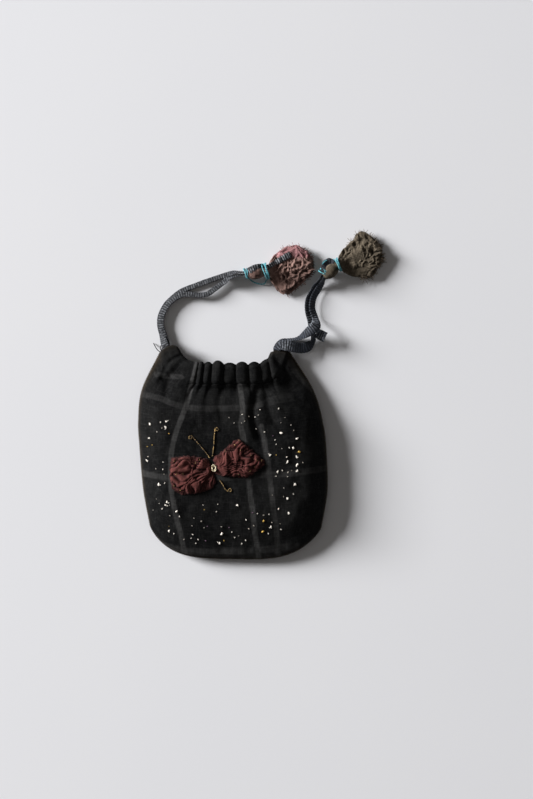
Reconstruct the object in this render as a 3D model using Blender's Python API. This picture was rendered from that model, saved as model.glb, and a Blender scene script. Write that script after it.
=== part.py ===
"""A small kinchaku, a drawstring pouch, lying on its back: Blender 4.5, metres, +Z up.

The origin is on the table under the middle of the bag. The mouth points to +Y and the decorated
front faces +Z. Two cloth panels are sewn together round the sides and the bottom. Along the top
of each panel a tunnel holds two ribbons. The left drawstring goes in at the left shoulder, round
the right one and back out at the left, and the right drawstring does the same the other way
round. Each pair of ends is tied into a tassel of gathered cloth.
"""

import math
import random

import bpy
import bmesh
from mathutils import Vector

for leftover in list(bpy.data.objects):
    bpy.data.objects.remove(leftover, do_unlink=True)

# Cloth and clearances
CLOTH = 0.0009
GAP = 0.0003
POUCH_WIDTH = 0.113
SIDE_LENGTH = 0.104

# The lie of the bag on the table
SEAM_HEIGHT = 0.0040
BELLY_HEIGHT = 0.0135
MOUTH_GAP = 0.0050
FRONT_ROLL = 0.020
BACK_ROLL = 0.013
BOTTOM_ROLL = 0.022

# The outline, from the bottom corners up to the shoulders
BOTTOM_DEPTH = 0.0193
SEAM_DEPTH = 0.0195
MOUTH_DEPTH = 0.0075
LEFT_SHOULDER = 0.0122
RIGHT_SHOULDER = 0.0112
LEFT_CORNER = 4.2
RIGHT_CORNER = 3.2
CASING_SQUARENESS = 7.0
CORNER_ROUND = 0.85
BOTTOM_REACH = 0.42
LEFT_LIFT = 0.0008
RIGHT_DROP = 0.0012
LIP_FROM = 0.62
GATHERED_FROM = 0.80
BACK_LIFT_FROM = 0.85
FOLDED_FROM = 0.93

# The tunnels along the mouth, and the ribbons in them
RIBBON_WIDTH = 0.0063
RIBBON_THICK = 0.0006
BUNCHED_RIBBON = 0.0038
TUNNEL_CLEARANCE = 0.0004
CASING_WALL = 0.0008
FRONT_RIDGE = 0.0011
BACK_RIDGE = 0.0007
RIDGES = 7
GATHER_FROM = 0.24
GATHER_TO = 0.80
TURN_OUT = 0.0008
TURN_DEPTH = 0.5

# The ruched butterfly and its threads
WING_PUFF = 0.0026
WING_RIM = 0.0008
KNOT_RADIUS = 0.0014
THREAD_RADIUS = 0.0004
CURL_RADIUS = 0.0011

# The seed stitches
STITCHES = 84
STITCH_SIZE = 0.0011
STITCH_HEIGHT = 0.0005

# The tassels
TIE_THREAD = 0.0005
TASSEL_HEIGHT = 0.0051
PINK_WAIST = 0.0024
OLIVE_WAIST = 0.0026
PINK_BULB = 0.0040
OLIVE_BULB = 0.0042
PINK_SPREAD = 0.0140
OLIVE_SPREAD = 0.0122
PINK_SKIRT = 0.0270
OLIVE_SKIRT = 0.0250
SKIRT_HEIGHT = 0.0048
PLEAT = 0.12

TUNNEL_WIDTH = 2 * BUNCHED_RIBBON + 3 * TUNNEL_CLEARANCE
TUNNEL_HEIGHT = RIBBON_THICK + 2 * TUNNEL_CLEARANCE
CASING = TUNNEL_HEIGHT + 2 * CASING_WALL
BACK_LIP = CASING + BACK_RIDGE
FRONT_LIP = BACK_LIP + MOUTH_GAP

# The sides, as shares of the pouch's width and of the sides' length, bottom to shoulder
LEFT_SIDE = (
    (-0.438, -0.408),
    (-0.473, -0.20),
    (-0.494, 0.06),
    (-0.500, 0.20),
    (-0.480, 0.38),
    (-0.386, 0.592),
)
RIGHT_SIDE = (
    (0.470, -0.422),
    (0.502, -0.22),
    (0.500, -0.03),
    (0.484, 0.16),
    (0.430, 0.37),
    (0.302, 0.597),
)

# The middle of the butterfly, on the front
BUTTERFLY = (-0.0108, -0.0076)

# The free ribbons' routes: X, Y and Z in millimetres, the lean in degrees (0 stands on edge, 90
# lies flat face up) and the width as a share of the ribbon's, narrow where it leaves the tunnel
STRANDS = {
    "left_strand_outer": (
        (-39.7, 62.4, 5.6, 90, 0.6),
        (-39.9, 64.0, 5.5, 90, 0.7),
        (-41.2, 67.6, 4.9, 72, 1.0),
        (-42.7, 72.5, 3.7, 48, 1.0),
        (-43.9, 77.8, 3.2, 25, 1.0),
        (-43.6, 83.4, 3.2, 24, 1.0),
        (-40.7, 89.7, 3.2, 25, 1.0),
        (-36.4, 94.3, 3.2, 27, 1.0),
        (-30.5, 98.7, 3.2, 28, 1.0),
        (-21.9, 102.1, 3.2, 28, 1.0),
        (-13.7, 105.1, 3.3, 28, 1.0),
        (-3.6, 108.4, 3.6, 27, 1.0),
        (2.4, 109.7, 4.2, 20, 0.8),
        (8.2, 109.8, 4.9, 15, 0.6),
    ),
    "left_strand_inner": (
        (-39.7, 62.4, 2.3, 90, 0.6),
        (-39.9, 64.0, 2.2, 90, 0.7),
        (-40.2, 67.6, 2.3, 72, 1.0),
        (-41.2, 72.4, 2.8, 48, 1.0),
        (-42.8, 77.7, 3.0, 25, 1.0),
        (-42.5, 83.2, 3.0, 24, 1.0),
        (-39.8, 89.1, 3.0, 25, 1.0),
        (-35.7, 93.4, 3.0, 27, 1.0),
        (-30.6, 96.2, 3.0, 26, 1.0),
        (-25.6, 96.6, 3.1, 22, 1.0),
        (-20.5, 96.1, 3.1, 20, 1.0),
        (-15.2, 96.9, 3.1, 20, 1.0),
        (-10.7, 99.8, 3.1, 22, 1.0),
        (-6.2, 103.2, 3.3, 24, 1.0),
        (-1.8, 106.2, 3.6, 24, 0.9),
        (2.4, 107.9, 4.2, 20, 0.8),
        (8.2, 108.5, 4.9, 15, 0.6),
    ),
    "right_strand_lower": (
        (26.5, 61.8, 5.8, 90, 0.6),
        (26.6, 63.4, 6.8, 86, 0.6),
        (28.8, 65.3, 7.6, 86, 0.8),
        (32.6, 65.5, 7.5, 90, 1.0),
        (37.2, 64.6, 6.6, 90, 1.0),
        (41.6, 64.2, 5.2, 92, 1.0),
        (45.4, 65.2, 4.2, 105, 1.0),
        (47.7, 67.7, 3.6, 130, 1.0),
        (48.3, 71.0, 3.3, 160, 1.0),
        (47.8, 75.4, 3.2, 150, 1.0),
        (46.9, 80.6, 3.1, 140, 1.0),
        (45.4, 87.0, 3.1, 142, 1.0),
        (45.8, 93.4, 3.1, 145, 1.0),
        (48.9, 99.4, 3.2, 148, 1.0),
        (52.0, 104.1, 4.0, 155, 0.8),
        (54.2, 108.3, 4.9, 165, 0.6),
    ),
    "right_strand_upper": (
        (26.5, 61.8, 2.3, 90, 0.6),
        (26.8, 64.4, 2.4, 88, 0.7),
        (30.2, 67.4, 3.0, 55, 1.0),
        (34.2, 68.9, 3.3, 22, 1.0),
        (38.6, 69.9, 4.0, 18, 1.0),
        (42.6, 71.9, 6.0, 42, 1.0),
        (46.6, 74.6, 7.4, 78, 1.0),
        (50.0, 77.8, 6.8, 102, 1.0),
        (49.8, 82.2, 4.8, 125, 1.0),
        (47.9, 88.2, 3.4, 142, 1.0),
        (48.7, 94.6, 3.2, 145, 1.0),
        (51.7, 100.0, 3.3, 148, 1.0),
        (54.2, 104.1, 4.1, 155, 0.8),
        (55.8, 108.0, 4.9, 165, 0.6),
    ),
    "right_ribbon_cut_end": (
        (50.4, 73.4, 4.4, 100, 0.85),
        (52.1, 72.4, 4.7, 98, 1.0),
        (54.0, 71.4, 5.2, 95, 1.0),
        (55.9, 70.5, 6.0, 90, 1.0),
    ),
}

FRONT_COLUMNS = 50
BACK_COLUMNS = 28
FRONT_ROWS = 15
BACK_ROWS = 10


def material(name, colour, roughness, metallic=0.0):
    made = bpy.data.materials.new(name)
    made.use_nodes = True
    shader = made.node_tree.nodes["Principled BSDF"]
    shader.inputs["Base Color"].default_value = (*colour, 1.0)
    shader.inputs["Roughness"].default_value = roughness
    shader.inputs["Metallic"].default_value = metallic
    return made


def add_object(name, mesh_points, faces, finish):
    """One named object from its points and faces, with its faces turned outwards."""
    mesh = bpy.data.meshes.new(name)
    mesh.from_pydata([tuple(point) for point in mesh_points], [], faces)
    shape = bmesh.new()
    shape.from_mesh(mesh)
    bmesh.ops.triangulate(shape, faces=shape.faces)
    bmesh.ops.recalc_face_normals(shape, faces=shape.faces)
    shape.to_mesh(mesh)
    shape.free()
    mesh.shade_smooth()
    mesh.set_sharp_from_angle(angle=math.radians(50))
    mesh.materials.append(finish)
    made = bpy.data.objects.new(name, mesh)
    bpy.context.scene.collection.objects.link(made)
    return made


def sweep(name, sections, finish, ring=False):
    """A body through equal sections, with flat ends, or closed on itself as a ring."""
    count = len(sections[0])
    mesh_points = [point for section in sections for point in section]
    faces = []
    for station in range(len(sections) if ring else len(sections) - 1):
        here = station * count
        there = ((station + 1) % len(sections)) * count
        for corner in range(count):
            after = (corner + 1) % count
            faces.append((here + corner, here + after, there + after, there + corner))
    if not ring:
        faces.append(tuple(range(count)))
        faces.append(tuple(range(len(mesh_points) - count, len(mesh_points))))
    return add_object(name, mesh_points, faces, finish)


def blend(low, high, share):
    return low + (high - low) * share


def ease(share):
    """0 to 1 with level ends."""
    share = min(1.0, max(0.0, share))
    return share * share * (3 - 2 * share)


def share_past(climb, start):
    """How far this climb is on the way from start to the casing's seam."""
    return (climb - start) / (1 - start)


def smooth_line(route, steps):
    """Catmull-Rom points through a route, with this many steps between two of its points."""
    route = [Vector(point) for point in route]
    ends = [2 * route[0] - route[1], *route, 2 * route[-1] - route[-2]]
    line = []
    for start in range(len(route) - 1):
        a, b, c, d = ends[start : start + 4]
        for step in range(steps):
            t = step / steps
            slope = (c - a) * t
            bend = (2 * a - 5 * b + 4 * c - d) * t**2
            twist = (3 * b - a - 3 * c + d) * t**3
            line.append(0.5 * (2 * b + slope + bend + twist))
    line.append(route[-1])
    return line


def side_place(side, climb):
    """A point of a side at this share of the way from its bottom corner to its shoulder."""
    route = [(x * POUCH_WIDTH, y * SIDE_LENGTH, 0) for x, y in side]
    line = smooth_line(route, 8)
    height = blend(line[0].y, line[-1].y, climb)
    for low, high in zip(line, line[1:]):
        if height <= high.y:
            share = (height - low.y) / (high.y - low.y)
            return Vector((blend(low.x, high.x, share), height, 0))
    return line[-1]


def dip(across, squareness):
    """How far a row hangs at this place across: 0 at its ends and 1 in the middle."""
    return max(0.0, 1 - abs(2 * across - 1) ** squareness) ** CORNER_ROUND


def body_place(across, climb):
    """A place on the flat bag, from its bottom edge (climb 0) to the casing's seam (climb 1)."""
    left = side_place(LEFT_SIDE, climb)
    right = side_place(RIGHT_SIDE, climb)
    low = BOTTOM_DEPTH * max(0.0, 1 - climb / BOTTOM_REACH) ** 2
    high = SEAM_DEPTH * max(0.0, share_past(climb, BOTTOM_REACH)) ** 2
    bottom = blend(LEFT_CORNER, RIGHT_CORNER, across)
    squareness = blend(bottom, CASING_SQUARENESS, ease(climb))
    place = left.lerp(right, across)
    place.y -= (low + high) * dip(across, squareness)
    return place, (right - left).length


def casing_place(across, rise):
    """A place on the flat casing, from its seam (rise 0) to the mouth's edge (rise 1)."""
    left = side_place(LEFT_SIDE, 1.0) + Vector((LEFT_SHOULDER * rise, LEFT_LIFT * rise, 0))
    right = side_place(RIGHT_SIDE, 1.0) - Vector((RIGHT_SHOULDER * rise, RIGHT_DROP * rise, 0))
    place = left.lerp(right, across)
    depth = blend(SEAM_DEPTH, MOUTH_DEPTH, rise)
    place.y -= depth * dip(across, CASING_SQUARENESS)
    return place, (right - left).length


def roll(distance, reach):
    """How far a panel has risen at this distance from its sewn edge: 0 at the edge, 1 inside."""
    share = min(1.0, distance / reach)
    return share * (2 - share)


def pleats(across):
    """The gathers' height, 0 to 1, at this place along the casing, none near the shoulders."""
    share = (across - GATHER_FROM) / (GATHER_TO - GATHER_FROM)
    if not 0 < share < 1:
        return 0.0
    turns = RIDGES * (share + 0.018 * math.sin(9 * share))
    return math.sin(math.pi * share) ** 0.4 * (0.5 - 0.5 * math.cos(2 * math.pi * turns))


def front_skins(across, climb, rise=None):
    """The front panel's inner and outer surface points at a place of the body or the casing."""
    if rise is None:
        place, width = body_place(across, climb)
        bottom = roll(climb * SIDE_LENGTH, BOTTOM_ROLL)
        belly = BELLY_HEIGHT - CLOTH
        full = blend(belly, FRONT_LIP, ease(share_past(climb, LIP_FROM)))
        folded = ease(share_past(climb, GATHERED_FROM))
        thick = blend(CLOTH, 2 * CLOTH, ease(share_past(climb, FOLDED_FROM)))
    else:
        place, width = casing_place(across, rise)
        bottom = 1.0
        full = FRONT_LIP
        folded = 1.0
        thick = blend(2 * CLOTH, CASING, min(1.0, math.sin(math.pi * rise) * 2))
    side = roll(min(across, 1 - across) * width, FRONT_ROLL)
    base = SEAM_HEIGHT + GAP / 2
    inner = base + (full - base) * side * bottom
    ridge = FRONT_RIDGE * folded * pleats(across)
    loose = 0.0 if rise is not None else 1 - ease(share_past(climb, FOLDED_FROM))
    if rise is not None:
        place.y += 0.7 * FRONT_RIDGE * pleats(across) * rise**2
    low = Vector((place.x, place.y, inner + ridge * loose))
    return low, Vector((place.x, place.y, inner + thick + ridge))


def back_skins(across, climb, rise=None):
    """The back panel's inner and outer surface points. Its outer side lies flat on the table."""
    if rise is None:
        place, width = body_place(across, climb)
        bottom = roll(climb * SIDE_LENGTH, BACK_ROLL)
        lifted = BACK_RIDGE * ease(share_past(climb, GATHERED_FROM))
        thick = blend(CLOTH, 2 * CLOTH, ease(share_past(climb, FOLDED_FROM)))
    else:
        place, width = casing_place(across, rise)
        bottom = 1.0
        lifted = BACK_RIDGE
        thick = blend(2 * CLOTH, CASING, min(1.0, math.sin(math.pi * rise) * 2))
    side = roll(min(across, 1 - across) * width, BACK_ROLL)
    ridge = lifted * pleats(across)
    edge = SEAM_HEIGHT - GAP / 2
    full = BACK_LIP
    if rise is None:
        full = blend(thick, BACK_LIP, ease(share_past(climb, BACK_LIFT_FROM)))
    inner = blend(edge, full, side * bottom)
    outer = max(0.0, inner - thick - ridge)
    if rise is None and climb > BACK_LIFT_FROM:
        outer = max(0.0, min(inner - thick, lifted - ridge))
    return Vector((place.x, place.y, inner)), Vector((place.x, place.y, outer))


def column_places(count):
    """Places across a panel, closer together along the gathers."""
    places = []
    edge_columns = count // 5
    for column in range(edge_columns):
        places.append(GATHER_FROM * column / edge_columns)
    middle = count - 2 * edge_columns
    for column in range(middle + 1):
        places.append(blend(GATHER_FROM, GATHER_TO, column / middle))
    for column in range(1, edge_columns + 1):
        places.append(blend(GATHER_TO, 1.0, column / edge_columns))
    return places


def row_places(count):
    """Shares of the climb for the body's rows, closer together at the bottom and at the seam."""
    even = [row / count for row in range(count + 1)]
    return [blend(share, 0.5 - 0.5 * math.cos(math.pi * share), 0.6) for share in even]


def tunnel_rises():
    """The casing's rows: its seam, the tunnel's two sides and middle, and the mouth's edge."""
    depth = (casing_place(0.5, 1.0)[0] - casing_place(0.5, 0.0)[0]).length
    margin = (1 - TUNNEL_WIDTH / depth) / 2
    return [0.0, margin, 0.5, 1 - margin, 1.0]


def tunnel_height(skins, across, rise, share):
    """A point in the tunnel: share 0 is its side next to the bag's hollow and 1 its outer side."""
    inner, outer = skins(across, 1.0, rise)
    way = 1 if outer.z > inner.z else -1
    low = inner.z + way * CASING_WALL
    return Vector((inner.x, inner.y, low + way * TUNNEL_HEIGHT * share))


def panel(name, skins, columns, rows, finish, stitches=()):
    """A cloth panel with a tunnel along its top, and stitches raised on its outer side."""
    across = column_places(columns)
    climbs = row_places(rows)
    rises = tunnel_rises()
    mesh_points = []
    inner = []
    outer = []
    for climb in climbs:
        pairs = [skins(place, climb) for place in across]
        inner.append([pair[0] for pair in pairs])
        outer.append([pair[1] for pair in pairs])
    for rise in rises[1:]:
        pairs = [skins(place, 1.0, rise) for place in across]
        inner.append([pair[0] for pair in pairs])
        outer.append([pair[1] for pair in pairs])
    pairs = [skins(place, 1.0, 0.0) for place in across]
    inner[rows] = [pair[0] for pair in pairs]
    outer[rows] = [pair[1] for pair in pairs]

    def add_grid(grid):
        start = len(mesh_points)
        for line in grid:
            mesh_points.extend(line)
        return lambda row, column: start + row * len(grid[0]) + column

    def between(low_sheet, low_row, high_sheet, high_row, column):
        """The face between a row of one grid and a row of another, at this column."""
        low = (low_sheet(low_row, column), low_sheet(low_row, column + 1))
        return (*low, high_sheet(high_row, column + 1), high_sheet(high_row, column))

    def closing(low_sheet, low_row, high_sheet, high_row, column):
        """The face that closes a panel's side between two grids, from one row to the next."""
        low = (low_sheet(low_row, column), low_sheet(low_row + 1, column))
        return (*low, high_sheet(high_row + 1, column), high_sheet(high_row, column))

    total_rows = len(inner) - 1
    total_columns = len(across) - 1
    inside = add_grid(inner)
    outside = add_grid(outer)
    faces = []
    wanted = {}
    for x, y in stitches:
        cell = cell_under(outer, x, y, rows)
        if cell:
            wanted[cell] = (x, y)
    for row in range(total_rows):
        for column in range(total_columns):
            faces.append(between(inside, row, inside, row + 1, column))
            corners = between(outside, row, outside, row + 1, column)
            if (row, column) in wanted:
                faces.extend(raised_stitch(mesh_points, corners, wanted[(row, column)]))
            else:
                faces.append(corners)
    for column in range(total_columns):
        for row in (0, total_rows):
            faces.append(between(inside, row, outside, row, column))
    for row in range(rows):
        for column in (0, total_columns):
            faces.append(closing(inside, row, outside, row, column))

    def tunnel_side(share):
        return [[tunnel_height(skins, place, rise, share) for place in across] for rise in rises[1:4]]

    near = add_grid(tunnel_side(0.0))
    far = add_grid(tunnel_side(1.0))
    for column in range(total_columns):
        for row in range(2):
            faces.append(between(near, row, near, row + 1, column))
            faces.append(between(far, row, far, row + 1, column))
        for row in (0, 2):
            faces.append(between(near, row, far, row, column))
    for column in (0, total_columns):
        first = rows
        for row in range(2):
            faces.append(closing(inside, first + 1 + row, near, row, column))
            faces.append(closing(outside, first + 1 + row, far, row, column))
        faces.append(
            (inside(first, column), inside(first + 1, column), near(0, column), far(0, column))
            + (outside(first + 1, column), outside(first, column))
        )
        last = total_rows
        faces.append(
            (inside(last, column), inside(last - 1, column), near(2, column), far(2, column))
            + (outside(last - 1, column), outside(last, column))
        )
    return add_object(name, mesh_points, faces, finish)


def cell_under(grid, x, y, rows):
    """The grid cell whose middle is nearest to this place, below the casing."""
    best = None
    for row in range(1, rows - 1):
        for column in range(1, len(grid[0]) - 2):
            corners = (grid[row][column], grid[row + 1][column + 1])
            middle = (corners[0] + corners[1]) / 2
            away = math.hypot(middle.x - x, middle.y - y)
            if best is None or away < best[0]:
                best = (away, (row, column))
    return best[1] if best and best[0] < 0.004 else None


def raised_stitch(mesh_points, corners, place):
    """A small four-sided bump standing on one cell of a panel, in place of the cell's face."""
    quad = [mesh_points[corner] for corner in corners]
    middle = sum(quad, Vector()) / 4
    wide = (quad[1] - quad[0]).length
    tall = (quad[3] - quad[0]).length
    along = (quad[3] - quad[0]) / tall
    slide = max(-0.25, min(0.25, (place[1] - middle.y) / tall))
    foot = middle + along * slide * tall
    half = min(STITCH_SIZE / 2, wide * 0.36)
    side = (quad[1] - quad[0]).normalized() * half
    up = along * half
    ring = [foot - side - up, foot + side - up, foot + side + up, foot - side + up]
    start = len(mesh_points)
    mesh_points.extend(ring)
    mesh_points.extend(point.lerp(foot, 0.35) + Vector((0, 0, STITCH_HEIGHT)) for point in ring)
    faces = []
    for corner in range(4):
        after = (corner + 1) % 4
        faces.append((corners[corner], corners[after], start + after, start + corner))
        faces.append((start + corner, start + after, start + 4 + after, start + 4 + corner))
    faces.append((start + 4, start + 5, start + 6, start + 7))
    return faces


def front_top(x, y):
    """The height of the front panel's outer side at this place below the casing."""
    low = 0.0
    high = 1.0
    across = 0.5
    for _ in range(18):
        climb = (low + high) / 2
        left = side_place(LEFT_SIDE, climb).x
        right = side_place(RIGHT_SIDE, climb).x
        across = min(0.98, max(0.02, (x - left) / (right - left)))
        if body_place(across, climb)[0].y < y:
            low = climb
        else:
            high = climb
    return front_skins(across, climb)[1].z


def scattered_stitches():
    """Places of the seed stitches, in a loose ring round the butterfly, from a seeded rule."""
    chance = random.Random(11)
    middle = Vector((-0.004, -0.010))
    places = []
    for number in range(STITCHES):
        turn = number * 2.399963 + chance.uniform(-0.2, 0.2)
        reach = chance.uniform(0.80, 1.12)
        x = middle.x + 0.0435 * reach * math.cos(turn)
        y = middle.y + 0.0365 * reach * math.sin(turn)
        if y < 0.022 or x > 0:
            places.append((x, y))
    return places


def track_section(skins, across, track):
    """The four corners of a bunched ribbon in its track of a tunnel: inner pair, then outer pair."""
    rises = tunnel_rises()
    start = TUNNEL_CLEARANCE if track == "lower" else 2 * TUNNEL_CLEARANCE + BUNCHED_RIBBON
    low = blend(rises[1], rises[3], start / TUNNEL_WIDTH)
    high = blend(rises[1], rises[3], (start + BUNCHED_RIBBON) / TUNNEL_WIDTH)
    near = TUNNEL_CLEARANCE / TUNNEL_HEIGHT
    return [
        tunnel_height(skins, across, low, near),
        tunnel_height(skins, across, high, near),
        tunnel_height(skins, across, high, 1 - near),
        tunnel_height(skins, across, low, 1 - near),
    ]


def held_drawstring(name, track, turn_right, finish):
    """A drawstring where the casings hold it: along the front, round one shoulder, along the back."""
    count = 26
    places = [step / count for step in range(count + 1)]
    if not turn_right:
        places.reverse()
    out = [track_section(front_skins, place, track) for place in places]
    home = [track_section(back_skins, place, track) for place in reversed(places)]
    before, last, first = out[-2], out[-1], home[0]
    sideways = last[1] - last[0]
    ahead = Vector((0, 0, 1)).cross(sideways).normalized()
    if ahead.dot(last[0] - before[0]) < 0:
        ahead.negate()
    inner_radius = (last[0].z - first[0].z) / 2
    outer_radius = (last[3].z - first[3].z) / 2
    turn = []
    for step in range(7):
        angle = math.pi * step / 6
        way = Vector((0, 0, math.cos(angle))) + ahead * math.sin(angle) * TURN_DEPTH
        radii = (inner_radius, inner_radius, outer_radius, outer_radius)
        hubs = [(top + bottom) / 2 + ahead * TURN_OUT for top, bottom in zip(last, first)]
        turn.append([hub + way * radius for hub, radius in zip(hubs, radii)])
    return sweep(name, out + turn + home, finish)


def free_ribbon(name, route, leans, widths, finish):
    """A free stretch of ribbon through its route. A lean of 0 stands it on edge, 90 lays it flat."""
    steps = 3
    line = smooth_line(route, steps)
    turned = smooth_line([(lean, width, 0) for lean, width in zip(leans, widths)], steps)
    sections = []
    for index, point in enumerate(line):
        before = line[max(0, index - 1)]
        after = line[min(len(line) - 1, index + 1)]
        along = (after - before).normalized()
        level = Vector((-along.y, along.x, 0)).normalized()
        steep = along.cross(level)
        angle = math.radians(turned[index].x)
        normal = level * math.cos(angle) + steep * math.sin(angle)
        sideways = along.cross(normal) * turned[index].y / 2
        half = normal * RIBBON_THICK / 2
        low, high = point - half, point + half
        sections.append([low - sideways, low + sideways, high + sideways, high - sideways])
    return sweep(name, sections, finish)


def tube(name, line, radius, finish, sides=6, ring=False):
    """A round thread along a line of points."""
    sections = []
    for index, point in enumerate(line):
        before = line[index - 1] if index or ring else line[0]
        after = line[(index + 1) % len(line)] if ring or index < len(line) - 1 else line[-1]
        along = (after - before).normalized()
        across = along.cross(Vector((0, 0, 1)))
        if across.length < 1e-3:
            across = along.cross(Vector((0, 1, 0)))
        across.normalize()
        up = across.cross(along)
        angles = [2 * math.pi * side / sides for side in range(sides)]
        sections.append([point + (across * math.cos(a) + up * math.sin(a)) * radius for a in angles])
    return sweep(name, sections, finish, ring)


def wing(name, outline, centre, folds, finish):
    """One ruched wing: a crumpled cushion of cloth that follows the panel under it."""
    spokes = 28
    rings = 5
    route = [(x, y, 0) for x, y in outline]
    route = [route[-1], *route, route[0], route[1]]
    line = smooth_line(route, 6)[6:-6]
    rim = [line[int(spoke * (len(line) - 1) / spokes)] for spoke in range(spokes)]
    hub = Vector((*centre, 0))
    mesh_points = []
    for layer in ("top", "bottom"):
        for ring_number in range(1, rings + 1):
            share = ring_number / rings
            for spoke, edge in enumerate(rim):
                place = hub.lerp(edge, share)
                angle = 2 * math.pi * spoke / spokes
                crumple = 0.5 + 0.5 * math.sin(folds * angle + 5 * share)
                puff = WING_PUFF * (1 - share**3) * (0.55 + 0.45 * crumple) + WING_RIM
                seat = front_top(place.x, place.y) + GAP
                place.z = seat + (puff if layer == "top" else 0)
                mesh_points.append(place)
        seat = front_top(hub.x, hub.y) + GAP
        lift = WING_PUFF + WING_RIM if layer == "top" else 0
        mesh_points.append(Vector((hub.x, hub.y, seat + lift)))
    layer_size = rings * spokes + 1
    faces = []
    for start in (0, layer_size):
        for spoke in range(spokes):
            after = (spoke + 1) % spokes
            faces.append((start + layer_size - 1, start + spoke, start + after))
            for ring_number in range(rings - 1):
                here = start + ring_number * spokes
                faces.append((here + spoke, here + spokes + spoke, here + spokes + after, here + after))
    edge_start = (rings - 1) * spokes
    for spoke in range(spokes):
        after = (spoke + 1) % spokes
        high = (edge_start + spoke, edge_start + after)
        faces.append((*high, layer_size + high[1], layer_size + high[0]))
    return add_object(name, mesh_points, faces, finish)


def thread_on_front(name, route, curl, finish):
    """A gold thread couched on the front panel, with a curl at its end."""
    line = [Vector((x, y, 0)) for x, y in route]
    line = smooth_line(line, 4)
    ahead = (line[-1] - line[-2]).normalized()
    side = Vector((-ahead.y, ahead.x, 0)) * curl
    hub = line[-1] + side * CURL_RADIUS
    for step in range(1, 9):
        angle = math.radians(33 * step)
        line.append(hub - side * CURL_RADIUS * math.cos(angle) + ahead * CURL_RADIUS * math.sin(angle))
    for point in line:
        point.z = front_top(point.x, point.y) + GAP + THREAD_RADIUS
    return tube(name, line, THREAD_RADIUS, finish, sides=6)


class Tassel:
    """A bunch of gathered cloth: a bulb, a tied waist and a spreading skirt, along one axis."""

    def __init__(self, start, waist, end, bulb, waist_radius, spread, skirt):
        self.start = Vector((*start, TASSEL_HEIGHT))
        self.waist = Vector((*waist, TASSEL_HEIGHT))
        self.end_way = (Vector((*end, TASSEL_HEIGHT)) - self.waist).normalized()
        self.head = (self.waist - self.start).length
        self.height = SKIRT_HEIGHT
        # Distance from the waist, half width and half height of each section
        self.sections = [
            (-self.head, 0.35 * bulb, 0.35 * bulb),
            (-0.86 * self.head, 0.85 * bulb, 0.85 * bulb),
            (-0.62 * self.head, bulb, bulb),
            (-0.38 * self.head, 0.84 * bulb, 0.84 * bulb),
            (-3 * TIE_THREAD, waist_radius, waist_radius),
            (3 * TIE_THREAD, waist_radius, waist_radius),
            (0.12 * skirt, 0.30 * spread, 0.78 * self.height),
            (0.35 * skirt, 0.72 * spread, 0.95 * self.height),
            (0.62 * skirt, spread, self.height),
            (0.85 * skirt, 0.92 * spread, 0.85 * self.height),
            (skirt, 0.55 * spread, 0.55 * self.height),
        ]

    def axis(self, distance):
        """The axis's point and direction at this distance past the waist."""
        if distance < 0:
            back = (self.start - self.waist).normalized()
            return self.waist + back * -distance, -back
        return self.waist + self.end_way * distance, self.end_way

    def size(self, distance):
        for low, high in zip(self.sections, self.sections[1:]):
            if distance <= high[0]:
                share = (distance - low[0]) / (high[0] - low[0])
                return blend(low[1], high[1], share), blend(low[2], high[2], share)
        return self.sections[-1][1:]

    def pleat(self, distance):
        """The pleats' depth here as a share of the cloth's size: none on the bulb and at the waist."""
        return PLEAT * ease(distance / self.sections[-1][0] * 2.5)

    def top(self, distance, sideways):
        """The height of the cloth's upper side here."""
        wide, tall = self.size(distance)
        swell = 1 + self.pleat(distance)
        inside = max(0.0, 1 - (sideways / (wide * swell)) ** 2)
        return self.axis(distance)[0].z + tall * swell * math.sqrt(inside)

    def build(self, name, lobes, finish):
        spokes = 22
        stops = []
        for low, high in zip(self.sections, self.sections[1:]):
            stops.extend((low[0], (low[0] + high[0]) / 2))
        stops.append(self.sections[-1][0])
        longest = self.sections[-1][0]
        rings = []
        for distance in stops:
            middle, ahead = self.axis(distance)
            level = Vector((-ahead.y, ahead.x, 0)).normalized()
            wide, tall = self.size(distance)
            pleat = self.pleat(distance)
            ring = []
            for spoke in range(spokes):
                angle = 2 * math.pi * spoke / spokes
                swell = 1 + pleat * math.sin(lobes * angle + 3 * distance / longest)
                point = middle + level * wide * swell * math.cos(angle)
                point.z += tall * swell * math.sin(angle)
                point.z = max(0.0, point.z)
                ring.append(point)
            rings.append(ring)
        return sweep(name, rings, finish)

    def ribbon(self, name, stops, finish):
        """A ribbon lying on the cloth, through stops of distance, sideways place and width."""
        line = smooth_line(stops, 4)
        sections = []
        for distance, sideways, width in line:
            middle, ahead = self.axis(distance)
            level = Vector((-ahead.y, ahead.x, 0)).normalized()
            place = middle + level * sideways
            place.z = self.top(distance, sideways) + GAP
            half = level * width / 2
            up = Vector((0, 0, RIBBON_THICK))
            sections.append([place - half, place + half, place + half + up, place - half + up])
        return sweep(name, sections, finish)


def tie(name, middle, ahead, wide, tall, finish, threads=1):
    """A thread wound round a tassel or its ribbons, as one closed ring of this many threads."""
    middle = Vector(middle)
    ahead = Vector(ahead).normalized()
    level = Vector((-ahead.y, ahead.x, 0)).normalized()
    sections = []
    for step in range(24):
        angle = 2 * math.pi * step / 24
        outward = level * wide * math.cos(angle) + Vector((0, 0, tall * math.sin(angle)))
        outward_way = outward.normalized()
        ring = []
        for side in range(6):
            turn = 2 * math.pi * side / 6
            offset = outward_way * math.cos(turn) + ahead * threads * math.sin(turn)
            ring.append(middle + outward + offset * TIE_THREAD)
        sections.append(ring)
    return sweep(name, sections, finish, ring=True)


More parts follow.
